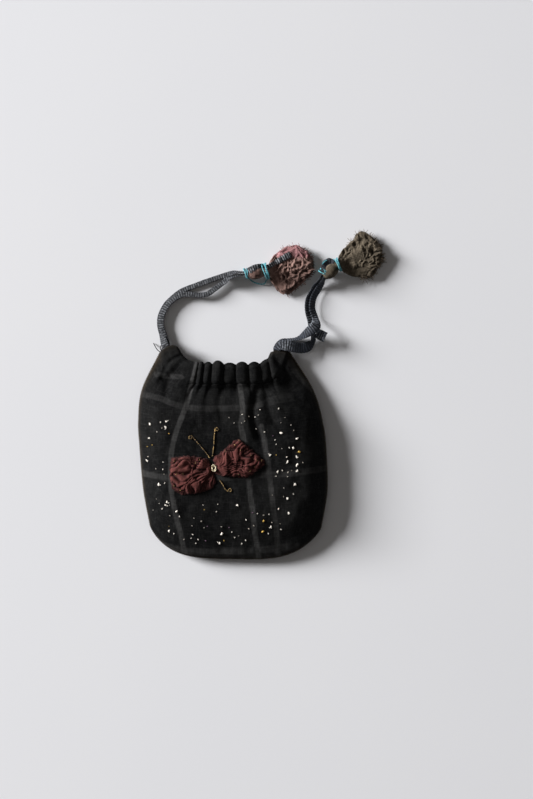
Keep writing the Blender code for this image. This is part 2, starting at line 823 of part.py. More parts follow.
BLACK_CLOTH = material("black_checked_cloth", (0.012, 0.012, 0.013), 0.92)
BACK_CLOTH = material("black_back_cloth", (0.012, 0.012, 0.013), 0.92)
RIBBON = material("navy_ribbon", (0.012, 0.016, 0.024), 0.55)
MAROON = material("maroon_cloth", (0.10, 0.025, 0.025), 0.9)
GOLD = material("gold_thread", (0.45, 0.30, 0.08), 0.4, 0.6)
ROSE = material("rose_cloth", (0.30, 0.13, 0.12), 0.9)
OLIVE = material("olive_cloth", (0.12, 0.10, 0.07), 0.92)
TURQUOISE = material("turquoise_thread", (0.10, 0.45, 0.50), 0.6)


def build_bag():
    panel("front_panel", front_skins, FRONT_COLUMNS, FRONT_ROWS, BLACK_CLOTH, scattered_stitches())
    panel("back_panel", back_skins, BACK_COLUMNS, BACK_ROWS, BACK_CLOTH)
    held_drawstring("left_drawstring_in_casing", "lower", True, RIBBON)
    held_drawstring("right_drawstring_in_casing", "upper", False, RIBBON)


def build_butterfly():
    left = ((-0.0022, 0.0042), (-0.0075, 0.0068), (-0.0160, 0.0072), (-0.0255, 0.0060))
    left += ((-0.0268, -0.0010), (-0.0262, -0.0080), (-0.0235, -0.0138), (-0.0150, -0.0150))
    left += ((-0.0060, -0.0138), (-0.0015, -0.0062))
    right = ((0.0022, -0.0040), (0.0022, 0.0052), (0.0072, 0.0118), (0.0146, 0.0172))
    right += ((0.0220, 0.0115), (0.0303, 0.0034), (0.0262, -0.0018), (0.0198, -0.0054))
    right += ((0.0100, -0.0052),)
    x, y = BUTTERFLY
    wing("wing_left", [(x + dx, y + dy) for dx, dy in left], (x - 0.0145, y - 0.0035), 7, MAROON)
    wing("wing_right", [(x + dx, y + dy) for dx, dy in right], (x + 0.0145, y + 0.0045), 6, MAROON)
    centre_knot()
    feeler_left = ((-0.0026, 0.0064), (-0.0068, 0.0105), (-0.0105, 0.0150), (-0.0132, 0.0186))
    feeler_right = ((-0.0006, 0.0070), (-0.0002, 0.0125), (0.0002, 0.0180), (0.0006, 0.0232))
    tail = ((0.0034, -0.0074), (0.0056, -0.0104), (0.0080, -0.0130), (0.0100, -0.0148))
    thread_on_front("feeler_left", [(x + dx, y + dy) for dx, dy in feeler_left], -1, GOLD)
    thread_on_front("feeler_right", [(x + dx, y + dy) for dx, dy in feeler_right], -1, GOLD)
    thread_on_front("tail_thread", [(x + dx, y + dy) for dx, dy in tail], 1, GOLD)


def centre_knot():
    """The lump of gold thread between the wings, flattened on the panel."""
    shape = bmesh.new()
    bmesh.ops.create_uvsphere(shape, u_segments=12, v_segments=8, radius=KNOT_RADIUS)
    seat = front_top(*BUTTERFLY) + GAP + KNOT_RADIUS
    bmesh.ops.translate(shape, verts=shape.verts, vec=(*BUTTERFLY, seat))
    mesh_points = [vert.co.copy() for vert in shape.verts]
    faces = [[vert.index for vert in face.verts] for face in shape.faces]
    shape.free()
    add_object("centre_knot", mesh_points, faces, GOLD)


def build_free_ribbons():
    """The four strands between the shoulders and the tassels. Routes are in millimetres."""
    for name, stops in STRANDS.items():
        route = [(x / 1000, y / 1000, z / 1000) for x, y, z, lean, width in stops]
        leans = [stop[3] for stop in stops]
        widths = [stop[4] * RIBBON_WIDTH for stop in stops]
        free_ribbon(name, route, leans, widths, RIBBON)


def build_tassels():
    pink_places = ((0.0087, 0.1092), (0.0201, 0.1104), (0.0460, 0.1122))
    pink = Tassel(*pink_places, PINK_BULB, PINK_WAIST, PINK_SPREAD, PINK_SKIRT)
    pink.build("pink_tassel_cloth", 7, ROSE)
    wide = PINK_WAIST + GAP + TIE_THREAD
    tall = wide + 2 * GAP + RIBBON_THICK
    middle, ahead = pink.axis(0)
    tie("pink_tassel_band", middle, ahead, wide, tall, TURQUOISE, 2)
    head = pink.head
    stops = [(-0.80 * head, 0, 0.0030), (-0.5 * head, 0, 0.0044), (-0.2 * head, 0, 0.0036)]
    stops += [(0, 0, 0.0022), (0.0030, 0.0004, 0.0030), (0.0070, 0.0020, 0.0046)]
    stops += [(0.0115, 0.0038, 0.0050), (0.0160, 0.0056, 0.0050)]
    pink.ribbon("pink_tassel_ribbon_end", stops, RIBBON)
    tie("pink_tassel_neck_tie", (0.0068, 0.1092, 0.0048), (1, 0.03, 0), 0.0027, 0.0033, TURQUOISE)

    olive_places = ((0.0561, 0.1092), (0.0630, 0.1140), (0.0861, 0.1212))
    olive = Tassel(*olive_places, OLIVE_BULB, OLIVE_WAIST, OLIVE_SPREAD, OLIVE_SKIRT)
    olive.build("olive_tassel_cloth", 6, OLIVE)
    wide = OLIVE_WAIST + GAP + TIE_THREAD
    middle, ahead = olive.axis(0)
    tie("olive_tassel_band", middle, ahead, wide, wide, TURQUOISE, 2)
    head = olive.head
    stops = [(-0.90 * head, 0.0002, 0.0040), (-0.75 * head, 0.0005, 0.0046), (-0.50 * head, 0.0008, 0.0050)]
    stops += [(-0.28 * head, 0.0008, 0.0040)]
    olive.ribbon("olive_tassel_ribbon_loop", stops, RIBBON)
    tie("olive_tassel_neck_tie", (0.0545, 0.1070, 0.0047), (0.45, 0.9, 0), 0.0034, 0.0038, TURQUOISE)


def main():
    build_bag()
    build_butterfly()
    build_free_ribbons()
    build_tassels()


main()
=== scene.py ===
# %% [markdown]
# # A kinchaku, the small drawstring pouch
#
# The real thing is a hand-sewn pouch of black checked cloth, about eleven centimetres wide. Two
# ribbons run through its gathered mouth, and each pair of ends is tied into a tassel of scrap cloth.
# On the front sits a butterfly of ruched cloth among scattered seed stitches.
#
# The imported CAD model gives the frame. Loading it first means that each piece below can be put
# where the frame says, in metres, with nothing to fit afterwards.

# %% Load the frame and note its size
import math
import random

import bmesh
import bpy
import numpy as np
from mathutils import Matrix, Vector, noise
from mathutils.bvhtree import BVHTree


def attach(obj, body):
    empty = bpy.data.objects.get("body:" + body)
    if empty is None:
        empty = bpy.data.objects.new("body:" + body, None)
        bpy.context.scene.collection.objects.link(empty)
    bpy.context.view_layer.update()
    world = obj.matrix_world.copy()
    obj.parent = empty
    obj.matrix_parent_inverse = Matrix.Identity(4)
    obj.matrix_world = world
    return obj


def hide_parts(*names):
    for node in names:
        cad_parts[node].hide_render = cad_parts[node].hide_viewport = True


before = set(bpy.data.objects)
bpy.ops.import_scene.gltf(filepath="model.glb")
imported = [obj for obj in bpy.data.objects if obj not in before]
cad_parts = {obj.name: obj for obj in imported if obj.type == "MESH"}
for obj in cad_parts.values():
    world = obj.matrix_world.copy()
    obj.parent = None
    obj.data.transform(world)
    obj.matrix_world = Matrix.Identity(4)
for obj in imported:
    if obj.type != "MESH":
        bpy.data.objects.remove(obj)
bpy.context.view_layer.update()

MM = 0.001
print("nodes in the frame:", len(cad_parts))

# %% [markdown]
# ## Where things are on the table
#
# The pouch was seen from straight above, so a place in the picture is a place on the table. One
# picture element covers 0.6 mm of table. Two small helpers turn the one into the other and back,
# which keeps the numbers for stripes and folds easy to check against the picture.

# %% From picture places to metres
PICTURE = (533, 799)
PIXEL = 0.6 * MM
ORIGIN_PX = (232.5, 455.0)


def on_table(px, py):
    return (px - ORIGIN_PX[0]) * PIXEL, (ORIGIN_PX[1] - py) * PIXEL


def in_picture(x, y):
    return ORIGIN_PX[0] + x / PIXEL, ORIGIN_PX[1] - y / PIXEL


MIDDLE = on_table(PICTURE[0] / 2, PICTURE[1] / 2)
print("middle of the view:", [round(c, 4) for c in MIDDLE])

# %% [markdown]
# ## The camera
#
# A camera on a copy stand looks straight down. It is set far enough away that the bag's small
# height hardly changes its outline, and its lens is chosen so that the picture's height just fits.

# %% Set up the copy-stand camera
CAMERA_HEIGHT = 1.2
CLOTH_LEVEL = 0.006
SENSOR_HEIGHT = 24

sight = bpy.data.cameras.new("copy_stand_camera")
sight.sensor_fit = "VERTICAL"
sight.sensor_height = SENSOR_HEIGHT
sight.lens = SENSOR_HEIGHT * (CAMERA_HEIGHT - CLOTH_LEVEL) / (PICTURE[1] * PIXEL)
camera = bpy.data.objects.new("copy_stand_camera", sight)
camera.location = (*MIDDLE, CAMERA_HEIGHT)
bpy.context.scene.collection.objects.link(camera)
bpy.context.scene.camera = camera
bpy.context.scene.view_settings.view_transform = "Standard"
print("lens:", round(sight.lens, 1), "mm")

# %% [markdown]
# ## Small helpers for nodes
#
# A material is a little network. Writing each link out by hand gets long, so one helper adds a node
# and fills its inputs. An input that is given another node's output is linked to it.

# %% A helper that adds one shader node
def add_node(tree, kind, inputs=None, **settings):
    made = tree.nodes.new(kind)
    for name, value in settings.items():
        setattr(made, name, value)
    for name, value in (inputs or {}).items():
        if isinstance(value, bpy.types.NodeSocket):
            tree.links.new(value, made.inputs[name])
        else:
            made.inputs[name].default_value = value
    return made


def calculate(tree, operation, first, second=0.0, third=0.0):
    return add_node(
        tree, "ShaderNodeMath", {0: first, 1: second, 2: third}, operation=operation
    ).outputs[0]


def mix_colours(tree, share, first, second):
    made = add_node(tree, "ShaderNodeMix", data_type="RGBA")
    sockets = [made.inputs["Factor"], made.inputs[6], made.inputs[7]]
    for socket, value in zip(sockets, (share, first, second)):
        if isinstance(value, bpy.types.NodeSocket):
            tree.links.new(value, socket)
        elif isinstance(value, tuple):
            socket.default_value = (*value, 1.0)
        else:
            socket.default_value = value
    return made.outputs[2]


def start_material(name, roughness=0.8, sheen=0.0, metallic=0.0):
    made = bpy.data.materials.new(name)
    made.use_nodes = True
    shader = made.node_tree.nodes["Principled BSDF"]
    shader.inputs["Roughness"].default_value = roughness
    shader.inputs["Metallic"].default_value = metallic
    shader.inputs["Sheen Weight"].default_value = sheen
    shader.inputs["Sheen Roughness"].default_value = 0.6
    return made, made.node_tree, shader


def surface_noise(tree, place, scale, detail=3.0, roughness=0.5):
    made = add_node(
        tree,
        "ShaderNodeTexNoise",
        {"Vector": place, "Scale": scale, "Detail": detail, "Roughness": roughness},
    )
    return made.outputs["Fac"]


# %% [markdown]
# ## The table and the light
#
# The pouch lies on a plain pale surface by a window. One lamp far off at the left gives the soft
# shadow to the right of the bag, and the world fills it a little. The lamp is low, because the
# shadow reaches well past the bag, and wide, because its edge is soft. It is far away, so that the
# table is lit almost evenly. The camera and the glossy surfaces see a paler room than the one that
# fills the shadows, so that the shadows can be deep without a black horizon.

# %% Make the table top
bpy.ops.object.select_all(action="DESELECT")
bpy.ops.mesh.primitive_plane_add(size=4, location=(*MIDDLE, 0))
table = bpy.context.object
table.name = "table_top"

paper, tree, shader = start_material("pale_table", roughness=0.75)
place = add_node(tree, "ShaderNodeTexCoord").outputs["Object"]
cloudy = surface_noise(tree, place, 6.0, detail=2.0)
tree.links.new(
    mix_colours(tree, cloudy, (0.735, 0.745, 0.775), (0.765, 0.770, 0.790)),
    shader.inputs["Base Color"],
)
table.data.materials.append(paper)
print("table top:", table.name)

# %% Light it from a window at the upper left
world = bpy.data.worlds.new("room")
bpy.context.scene.world = world
world.use_nodes = True
tree = world.node_tree
tree.nodes.clear()
seen = add_node(tree, "ShaderNodeLightPath")
direct = calculate(tree, "ADD", seen.outputs["Is Camera Ray"], seen.outputs["Is Glossy Ray"])
direct = calculate(tree, "ADD", direct, seen.outputs["Is Transmission Ray"])
fill = add_node(tree, "ShaderNodeBackground", {"Color": (1.0, 0.94, 0.88, 1), "Strength": 0.105})
pale = add_node(tree, "ShaderNodeBackground", {"Color": (0.75, 0.76, 0.785, 1), "Strength": 1.0})
both = add_node(tree, "ShaderNodeMixShader", {0: direct, 1: fill.outputs[0], 2: pale.outputs[0]})
add_node(tree, "ShaderNodeOutputWorld", {"Surface": both.outputs[0]})

WINDOW = Vector((-5.9, 2.3, 1.85))
lamp = bpy.data.lights.new("window", "AREA")
lamp.shape = "RECTANGLE"
lamp.size = 2.4
lamp.size_y = 1.9
lamp.energy = 1340
lamp.color = (1.0, 0.995, 0.998)
window = bpy.data.objects.new("window", lamp)
window.location = Vector((*MIDDLE, 0)) + WINDOW
window.rotation_euler = WINDOW.to_track_quat("Z", "Y").to_euler()
bpy.context.scene.collection.objects.link(window)
print("window at", [round(c, 2) for c in window.location])

# %% [markdown]
# ## Two recipes that most of the cloths share
#
# Plain weave is two sets of threads that pass over and under each other. Its relief is the sine of
# the cloth's own coordinates, taken from the one set or the other as in a chessboard. Threads also
# differ a little from their neighbours, which a white noise per thread gives. The recipe is a node
# group, so that each cloth has the same weave at its own pitch.

# %% The woven_threads node group
def new_group(name, inputs, outputs):
    group = bpy.data.node_groups.new(name, "ShaderNodeTree")
    for label, kind, value in inputs:
        socket = group.interface.new_socket(label, in_out="INPUT", socket_type=kind)
        if value is not None:
            socket.default_value = value
    for label in outputs:
        group.interface.new_socket(label, in_out="OUTPUT", socket_type="NodeSocketFloat")
    return group, group.nodes.new("NodeGroupInput"), group.nodes.new("NodeGroupOutput")


weave, given, made = new_group(
    "woven_threads",
    [("Place", "NodeSocketVector", None), ("Threads per metre", "NodeSocketFloat", 1800.0)],
    ["Height", "Tone"],
)
grown = add_node(weave, "ShaderNodeVectorMath", {0: given.outputs["Place"]}, operation="SCALE")
weave.links.new(given.outputs["Threads per metre"], grown.inputs["Scale"])
parts = add_node(weave, "ShaderNodeSeparateXYZ", {0: grown.outputs[0]})
threads = []
tones = []
cells = []
for axis in ("X", "Y"):
    along = parts.outputs[axis]
    wave = calculate(weave, "SINE", calculate(weave, "MULTIPLY", along, math.pi))
    threads.append(calculate(weave, "ABSOLUTE", wave))
    cell = calculate(weave, "FLOOR", along)
    cells.append(cell)
    one_thread = add_node(weave, "ShaderNodeTexWhiteNoise", {"W": cell}, noise_dimensions="1D")
    tones.append(one_thread.outputs["Value"])
parity = calculate(weave, "FLOORED_MODULO", calculate(weave, "ADD", *cells), 2.0)
over = calculate(weave, "MULTIPLY", threads[0], parity)
under = calculate(weave, "MULTIPLY", threads[1], calculate(weave, "SUBTRACT", 1.0, parity))
weave.links.new(calculate(weave, "ADD", over, under), made.inputs["Height"])
tone = calculate(weave, "MULTIPLY", calculate(weave, "ADD", *tones), 0.5)
weave.links.new(tone, made.inputs["Tone"])
print("group:", weave.name)

# %% [markdown]
# Old black cloth isn't evenly black. It has faded in soft patches and carries specks of lint. The
# second group gives both as masks from Object coordinates, at two very different scales.

# %% The fade_and_lint node group
aged, given, made = new_group(
    "fade_and_lint",
    [("Place", "NodeSocketVector", None), ("Patches per metre", "NodeSocketFloat", 38.0)],
    ["Fade", "Lint"],
)
patches = surface_noise(aged, given.outputs["Place"], given.outputs["Patches per metre"], 5.0, 0.62)
soft = add_node(aged, "ShaderNodeMapRange", {0: patches, 1: 0.42, 2: 0.72, 3: 0.0, 4: 1.0})
aged.links.new(soft.outputs[0], made.inputs["Fade"])
specks = surface_noise(aged, given.outputs["Place"], 950.0, 2.0, 0.7)
sharp = add_node(aged, "ShaderNodeMapRange", {0: specks, 1: 0.66, 2: 0.74, 3: 0.0, 4: 1.0})
aged.links.new(sharp.outputs[0], made.inputs["Lint"])
print("group:", aged.name)


def use_group(tree, group, **values):
    made = tree.nodes.new("ShaderNodeGroup")
    made.node_tree = group
    for name, value in values.items():
        socket = made.inputs[name.replace("_", " ")]
        if isinstance(value, bpy.types.NodeSocket):
            tree.links.new(value, socket)
        else:
            socket.default_value = value
    return made.outputs


def add_relief(tree, shader, height, distance, strength=1.0):
    bump = add_node(
        tree, "ShaderNodeBump", {"Height": height, "Distance": distance, "Strength": strength}
    )
    tree.links.new(bump.outputs[0], shader.inputs["Normal"])


# %% [markdown]
# ## Making meshes from points
#
# Cloth, ribbon and thread are all rows of points joined by faces. These helpers make such a piece,
# with the cloth's own coordinates in a UV map and any marks, such as the stripes, as attributes.
# The points come from formulas, because cloth follows many soft rules at once, which would be hard
# to pull into shape by hand.

# %% Helpers for sheets and swept pieces
def smooth_line(route, steps):
    """Catmull-Rom points through a route, with this many steps between two of its points."""
    route = np.array(route, float)
    ends = np.vstack([2 * route[0] - route[1], route, 2 * route[-1] - route[-2]])
    t = (np.arange(steps) / steps)[:, None]
    line = []
    for start in range(len(route) - 1):
        a, b, c, d = ends[start : start + 4]
        bend = (2 * a - 5 * b + 4 * c - d) * t**2
        twist = (3 * b - a - 3 * c + d) * t**3
        line.append(0.5 * (2 * b + (c - a) * t + bend + twist))
    return np.vstack([*line, route[-1:]])


def stand_mesh(mesh):
    """An object in the scene that shows this mesh, smoothly shaded."""
    mesh.shade_smooth()
    made = bpy.data.objects.new(mesh.name, mesh)
    bpy.context.scene.collection.objects.link(made)
    return made


def add_mark(mesh, label, values):
    """A number for each point, which a finish can read by its label."""
    attribute = mesh.attributes.new(label, "FLOAT", "POINT")
    attribute.data.foreach_set("value", np.asarray(values, np.float32).ravel())


def sheet_piece(name, grid, cloth_place, marks=None, closed=False, flip=False):
    """A piece from rows of points. Its UV map holds cloth_place, and each mark is an attribute."""
    rows, columns = grid.shape[:2]
    index = np.arange(rows * columns).reshape(rows, columns)
    right = np.roll(index, -1, axis=1) if closed else index[:, 1:]
    left = index if closed else index[:, :-1]
    quads = np.stack([left[:-1], right[:-1], right[1:], left[1:]], axis=-1).reshape(-1, 4)
    if flip:
        quads = quads[:, ::-1]
    mesh = bpy.data.meshes.new(name)
    mesh.from_pydata(grid.reshape(-1, 3).tolist(), [], quads.tolist())
    corners = quads.ravel()
    layer = mesh.uv_layers.new(name="cloth")
    layer.data.foreach_set("uv", cloth_place.reshape(-1, 2)[corners].ravel())
    for label, values in (marks or {}).items():
        add_mark(mesh, label, values)
    return stand_mesh(mesh)


def close_ends(piece):
    """Fills the open ends of a swept piece."""
    shape = bmesh.new()
    shape.from_mesh(piece.data)
    bmesh.ops.holes_fill(shape, edges=[e for e in shape.edges if e.is_boundary], sides=0)
    bmesh.ops.recalc_face_normals(shape, faces=shape.faces)
    shape.to_mesh(piece.data)
    shape.free()


def finish_with(piece, kind, **settings):
    """Adds a modifier and applies it."""
    bpy.ops.object.select_all(action="DESELECT")
    bpy.context.view_layer.objects.active = piece
    piece.select_set(True)
    made = piece.modifiers.new(kind.lower(), kind)
    for name, value in settings.items():
        setattr(made, name, value)
    bpy.ops.object.modifier_apply(modifier=made.name)
    piece.select_set(False)


def place_piece(piece, finish, *nodes, slot=None):
    """The piece rides on the pouch, wears this finish and stands for these CAD nodes."""
    piece.data.materials.clear()
    piece.data.materials.append(finish)
    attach(piece, "root")
    if nodes:
        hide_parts(*nodes)
    print(piece.name, "faces:", len(piece.data.polygons))
    return piece


def ease(share):
    share = np.clip(share, 0.0, 1.0)
    return share * share * (3 - 2 * share)


def blend(low, high, share):
    return low + (high - low) * share


# %% [markdown]
# ## The ribbons
#
# The drawstrings are petersham, a stiff ribbon with a rib at each weft thread, so its face is a row
# of fine bars and its edges are slightly notched. A curve with a bevel can't be ribbed, so each free
# stretch is swept as a mesh: a flat section that turns with the route, a little thicker and wider
# at each rib. Seen from above, the routes are those of the CAD solids, with one more stop inside
# the casing. The free stretches are folded lengthwise and lie low, so they are narrower and lower
# here than in the CAD. The stops are in millimetres, with the lean in degrees (0 stands on edge, 90
# lies flat) and the width as a share of the full ribbon.

# %% The ribbons' routes
RIBBON_WIDTH = 6.3 * MM
RIBBON_THICK = 0.6 * MM
RIB = 1.45 * MM
STRANDS = {
    "left_strand_outer": (
        (-39.4, 59.2, 5.5, 90, 0.6),
        (-39.7, 62.4, 5.6, 90, 0.6),
        (-39.9, 64, 5.5, 90, 0.7),
        (-41.2, 67.6, 3.9, 72, 0.75),
        (-42.7, 72.5, 1.1, 70, 0.55),
        (-43.9, 77.8, 1.1, 70, 0.55),
        (-43.6, 83.4, 1.1, 70, 0.55),
        (-40.7, 89.7, 1.1, 70, 0.55),
        (-36.4, 94.3, 1.1, 70, 0.55),
        (-30.5, 98.7, 1.1, 70, 0.55),
        (-21.9, 102.1, 1.1, 70, 0.55),
        (-13.7, 105.1, 1.1, 70, 0.55),
        (-3.6, 108.4, 1.1, 70, 0.55),
        (2.4, 109.7, 4.2, 20, 0.8),
        (8.2, 109.8, 4.9, 15, 0.6),
    ),
    "left_strand_inner": (
        (-39.4, 59.2, 2.3, 90, 0.6),
        (-39.7, 62.4, 2.3, 90, 0.6),
        (-39.9, 64, 2.2, 90, 0.7),
        (-40.2, 67.6, 1.8, 72, 0.75),
        (-41.2, 72.4, 2.2, 70, 0.55),
        (-42.8, 77.7, 2.2, 70, 0.55),
        (-42.5, 83.2, 2.2, 70, 0.55),
        (-39.8, 89.1, 2.2, 70, 0.55),
        (-35.7, 93.4, 2.2, 70, 0.55),
        (-30.6, 96.2, 2.2, 70, 0.55),
        (-25.6, 96.6, 2.2, 70, 0.55),
        (-20.5, 96.1, 2.2, 70, 0.55),
        (-15.2, 96.9, 2.2, 70, 0.55),
        (-10.7, 99.8, 2.2, 70, 0.55),
        (-6.2, 103.2, 2.2, 70, 0.55),
        (-1.8, 106.2, 3.6, 24, 0.9),
        (2.4, 107.9, 4.2, 20, 0.8),
        (8.2, 108.5, 4.9, 15, 0.6),
    ),
    "right_strand_lower": (
        (26.4, 58.8, 5.5, 90, 0.6),
        (26.5, 61.8, 5.8, 90, 0.6),
        (26.6, 63.4, 6.8, 86, 0.6),
        (28.8, 65.3, 7.6, 86, 0.8),
        (32.6, 65.5, 7.5, 90, 1),
        (37.2, 64.6, 6.6, 90, 1),
        (41.6, 64.2, 5.2, 92, 1),
        (45.4, 65.2, 4.2, 105, 1),
        (47.7, 67.7, 1.2, 112, 0.66),
        (48.3, 71, 3.3, 160, 1),
        (47.8, 75.4, 1.2, 112, 0.66),
        (46.9, 80.6, 1.2, 112, 0.66),
        (45.4, 87, 1.2, 112, 0.66),
        (45.8, 93.4, 1.2, 112, 0.66),
        (48.9, 99.4, 1.2, 112, 0.66),
        (52, 104.1, 4, 155, 0.8),
        (54.2, 108.3, 4.9, 165, 0.6),
    ),
    "right_strand_upper": (
        (26.4, 58.8, 2.3, 90, 0.6),
        (26.5, 61.8, 2.3, 90, 0.6),
        (26.8, 64.4, 2.4, 88, 0.7),
        (30.2, 67.4, 3, 55, 1),
        (34.2, 68.9, 3.3, 22, 1),
        (38.6, 69.9, 4, 18, 1),
        (42.6, 71.9, 6, 42, 1),
        (46.6, 74.6, 7.4, 78, 1),
        (50, 77.8, 6.8, 102, 1),
        (49.8, 82.2, 2.3, 112, 0.66),
        (47.9, 88.2, 2.3, 112, 0.66),
        (48.7, 94.6, 2.3, 112, 0.66),
        (51.7, 100, 2.3, 112, 0.66),
        (54.2, 104.1, 4.1, 155, 0.8),
        (55.8, 108, 4.9, 165, 0.6),
    ),
    "right_ribbon_cut_end": (
        (50.4, 73.4, 4.4, 100, 0.85),
        (52.1, 72.4, 4.7, 98, 1),
        (54, 71.4, 5.2, 95, 1),
        (55.9, 70.5, 6, 90, 1),
    ),
}


def even_steps(line, step):
    """The line again, with its columns read at even steps of length along its first three."""
    walked = np.linalg.norm(np.diff(line[:, :3], axis=0), axis=1)
    length = np.concatenate([[0.0], np.cumsum(walked)])
    at = np.linspace(0.0, length[-1], max(2, int(round(length[-1] / step)) + 1))
    return np.stack([np.interp(at, length, line[:, c]) for c in range(line.shape[1])], axis=1), at


def unit(vectors):
    return vectors / np.maximum(np.linalg.norm(vectors, axis=-1, keepdims=True), 1e-12)


def ribbed_ribbon(name, stops, notch=0.0, glint_spots=()):
    """A ribbed ribbon through its route. notch cuts its last end to a shallow V.

    Each glint spot is a painted highlight: a place in the picture and a radius in millimetres.
    """
    stops = np.array(stops, float)
    stops[:, :3] *= MM
    line, at = even_steps(smooth_line(stops, 12), RIB / 6)
    along = unit(np.gradient(line[:, :3], axis=0))
    level = unit(np.stack([-along[:, 1], along[:, 0], np.zeros(len(line))], axis=1))
    steep = np.cross(along, level)
    lean = np.radians(line[:, 3])[:, None]
    normal = level * np.cos(lean) + steep * np.sin(lean)
    sideways = np.cross(along, normal)
    rib = np.abs(np.sin(np.pi * at / RIB)) ** 0.8
    half_width = line[:, 4] * RIBBON_WIDTH / 2 * (0.95 + 0.06 * rib)
    half_thick = RIBBON_THICK / 2 * (0.30 + 0.70 * rib)
    section = [(-1, 0), (-0.93, -1), (-0.45, -1), (0, -1), (0.45, -1), (0.93, -1)]
    section += [(1, 0), (0.93, 1), (0.45, 1), (0, 1), (-0.45, 1), (-0.93, 1)]
    across = np.array([c for c, _ in section])
    out = np.array([o for _, o in section])
    waver = np.array([0.25 * noise.noise(Vector((x * 160, y * 160, 3.0))) for x, y in line[:, :2]])
    bowed = waver[:, None] * MM * (across**2 - 0.3)
    grid = line[:, None, :3] + sideways[:, None] * (half_width[:, None] * across)[..., None]
    grid = grid + normal[:, None] * (half_thick[:, None] * out + bowed)[..., None]
    if notch:
        left = (at[-1] - at) / notch
        pull = np.clip(1 - left, 0, 1)[:, None] * (1 - np.abs(across)) * notch * 0.45
        grid -= along[:, None] * pull[..., None]
    cloth_place = np.stack(
        [half_width[:, None] * across + 0 * at[:, None], at[:, None] + 0 * across], axis=-1
    )
    # A painted highlight round each glint spot, where the curling ribbon would catch the window.
    painted_glint = np.zeros(grid.shape[:2])
    for px, py, radius in glint_spots:
        x, y = on_table(px, py)
        away = np.hypot(grid[..., 0] - x, grid[..., 1] - y)
        painted_glint = np.maximum(painted_glint, np.exp(-((away / (radius * MM)) ** 2)))
    marks = {"rib": rib[:, None] + 0 * across, "painted_glint": painted_glint}
    piece = sheet_piece(name, grid, cloth_place, marks, closed=True)
    close_ends(piece)
    return piece, line[:, :3], at[-1]


# %% [markdown]
# The ribbon's finish follows its ribs. The crowns are painted blue-grey, partly rubbed cloth and
# partly a painted highlight of the light they catch, and the ground between them stays almost
# black. The rib attribute from the mesh gives that, so the bars turn with the ribbon wherever it goes.

# %% The petersham finish
def petersham(name, ground, crown):
    made, tree, shader = start_material(name, roughness=0.5)
    shader.inputs["Specular IOR Level"].default_value = 0.16
    rib = add_node(tree, "ShaderNodeAttribute", attribute_name="rib").outputs["Fac"]
    painted_glint = add_node(tree, "ShaderNodeAttribute", attribute_name="painted_glint").outputs["Fac"]
    place = add_node(tree, "ShaderNodeTexCoord").outputs["Object"]
    # The crowns are paler in patches: partly rubbed cloth, partly painted highlight.
    lightened = surface_noise(tree, place, 520.0, 3.0, 0.65)
    lightened = add_node(tree, "ShaderNodeMapRange", {0: lightened, 1: 0.38, 2: 0.62, 3: 0.12}).outputs[0]
    share = calculate(tree, "MULTIPLY", calculate(tree, "POWER", rib, 3.0), lightened)
    dull = mix_colours(tree, share, ground, crown)
    # A pale painted highlight over the crowns at the glint spots.
    glint_share = calculate(tree, "MULTIPLY", share, painted_glint)
    tree.links.new(mix_colours(tree, glint_share, dull, (0.42, 0.45, 0.50)), shader.inputs["Base Color"])
    tree.links.new(
        calculate(tree, "SUBTRACT", 0.58, calculate(tree, "MULTIPLY", share, 0.22)),
        shader.inputs["Roughness"],
    )
    strands = add_node(tree, "ShaderNodeTexCoord").outputs["UV"]
    fine = use_group(tree, weave, Place=strands, Threads_per_metre=3600.0)
    add_relief(tree, shader, fine["Height"], 0.00006)
    return made


faded_navy = petersham("faded_navy_petersham", (0.0026, 0.0032, 0.0050), (0.135, 0.142, 0.155))
deep_navy = petersham("deep_navy_petersham", (0.0018, 0.0026, 0.0048), (0.040, 0.048, 0.066))
cut_navy = petersham("cut_end_petersham", (0.0025, 0.0034, 0.0060), (0.085, 0.098, 0.125))

# Painted highlights where the ribbon curls: a place in the picture and a radius in millimetres.
GLINT_SPOTS = [(286, 346.5, 3.4), (311, 321, 4.2), (321, 337, 2.2)]
ribbons = {}
for name, stops in STRANDS.items():
    finish = faded_navy if name.startswith("left") else deep_navy
    notch = 0.0
    if name == "right_ribbon_cut_end":
        finish = cut_navy
        notch = 2.4 * MM
    piece, line, length = ribbed_ribbon(f"{name}_petersham", stops, notch, GLINT_SPOTS)
    place_piece(piece, finish, name, slot="navy_ribbon")
    ribbons[name] = (piece, line, length)
    print(f"{name}: {length * 1000:.1f} mm")

# %% [markdown]
# ## The shape of the bag
#
# Both panels share one outline. Its sides run from the bottom corners up to the shoulders, the
# bottom hangs in a flat curve, and the gathered casing dips towards the middle of the mouth. A
# place on a panel is given by how far across it is, from 0 to 1, and how far up: 0 to 1 on the
# body, and 1 to 2 on the casing.

# %% The bag's outline and its height over the table
POUCH_WIDTH = 113 * MM
SIDE_LENGTH = 104 * MM
LEFT_SIDE = ((-0.438, -0.408), (-0.473, -0.20), (-0.494, 0.06))
LEFT_SIDE += ((-0.500, 0.20), (-0.480, 0.38), (-0.386, 0.592))
RIGHT_SIDE = ((0.470, -0.422), (0.502, -0.22), (0.500, -0.03))
RIGHT_SIDE += ((0.484, 0.16), (0.430, 0.37), (0.302, 0.597))
left_line = smooth_line(np.array(LEFT_SIDE) * (POUCH_WIDTH, SIDE_LENGTH), 8)
right_line = smooth_line(np.array(RIGHT_SIDE) * (POUCH_WIDTH, SIDE_LENGTH), 8)

BOTTOM_DEPTH = 19.3 * MM
SEAM_DEPTH = 19.5 * MM
MOUTH_DEPTH = 7.5 * MM
SEAM_HEIGHT = 4.0 * MM
BELLY_HEIGHT = 13.5 * MM
CLOTH = 0.9 * MM
CASING = 3.0 * MM
BACK_LIP = 3.7 * MM
FRONT_LIP = 8.7 * MM


def side_at(line, climb):
    height = blend(line[0, 1], line[-1, 1], climb)
    return np.interp(height, line[:, 1], line[:, 0]), height


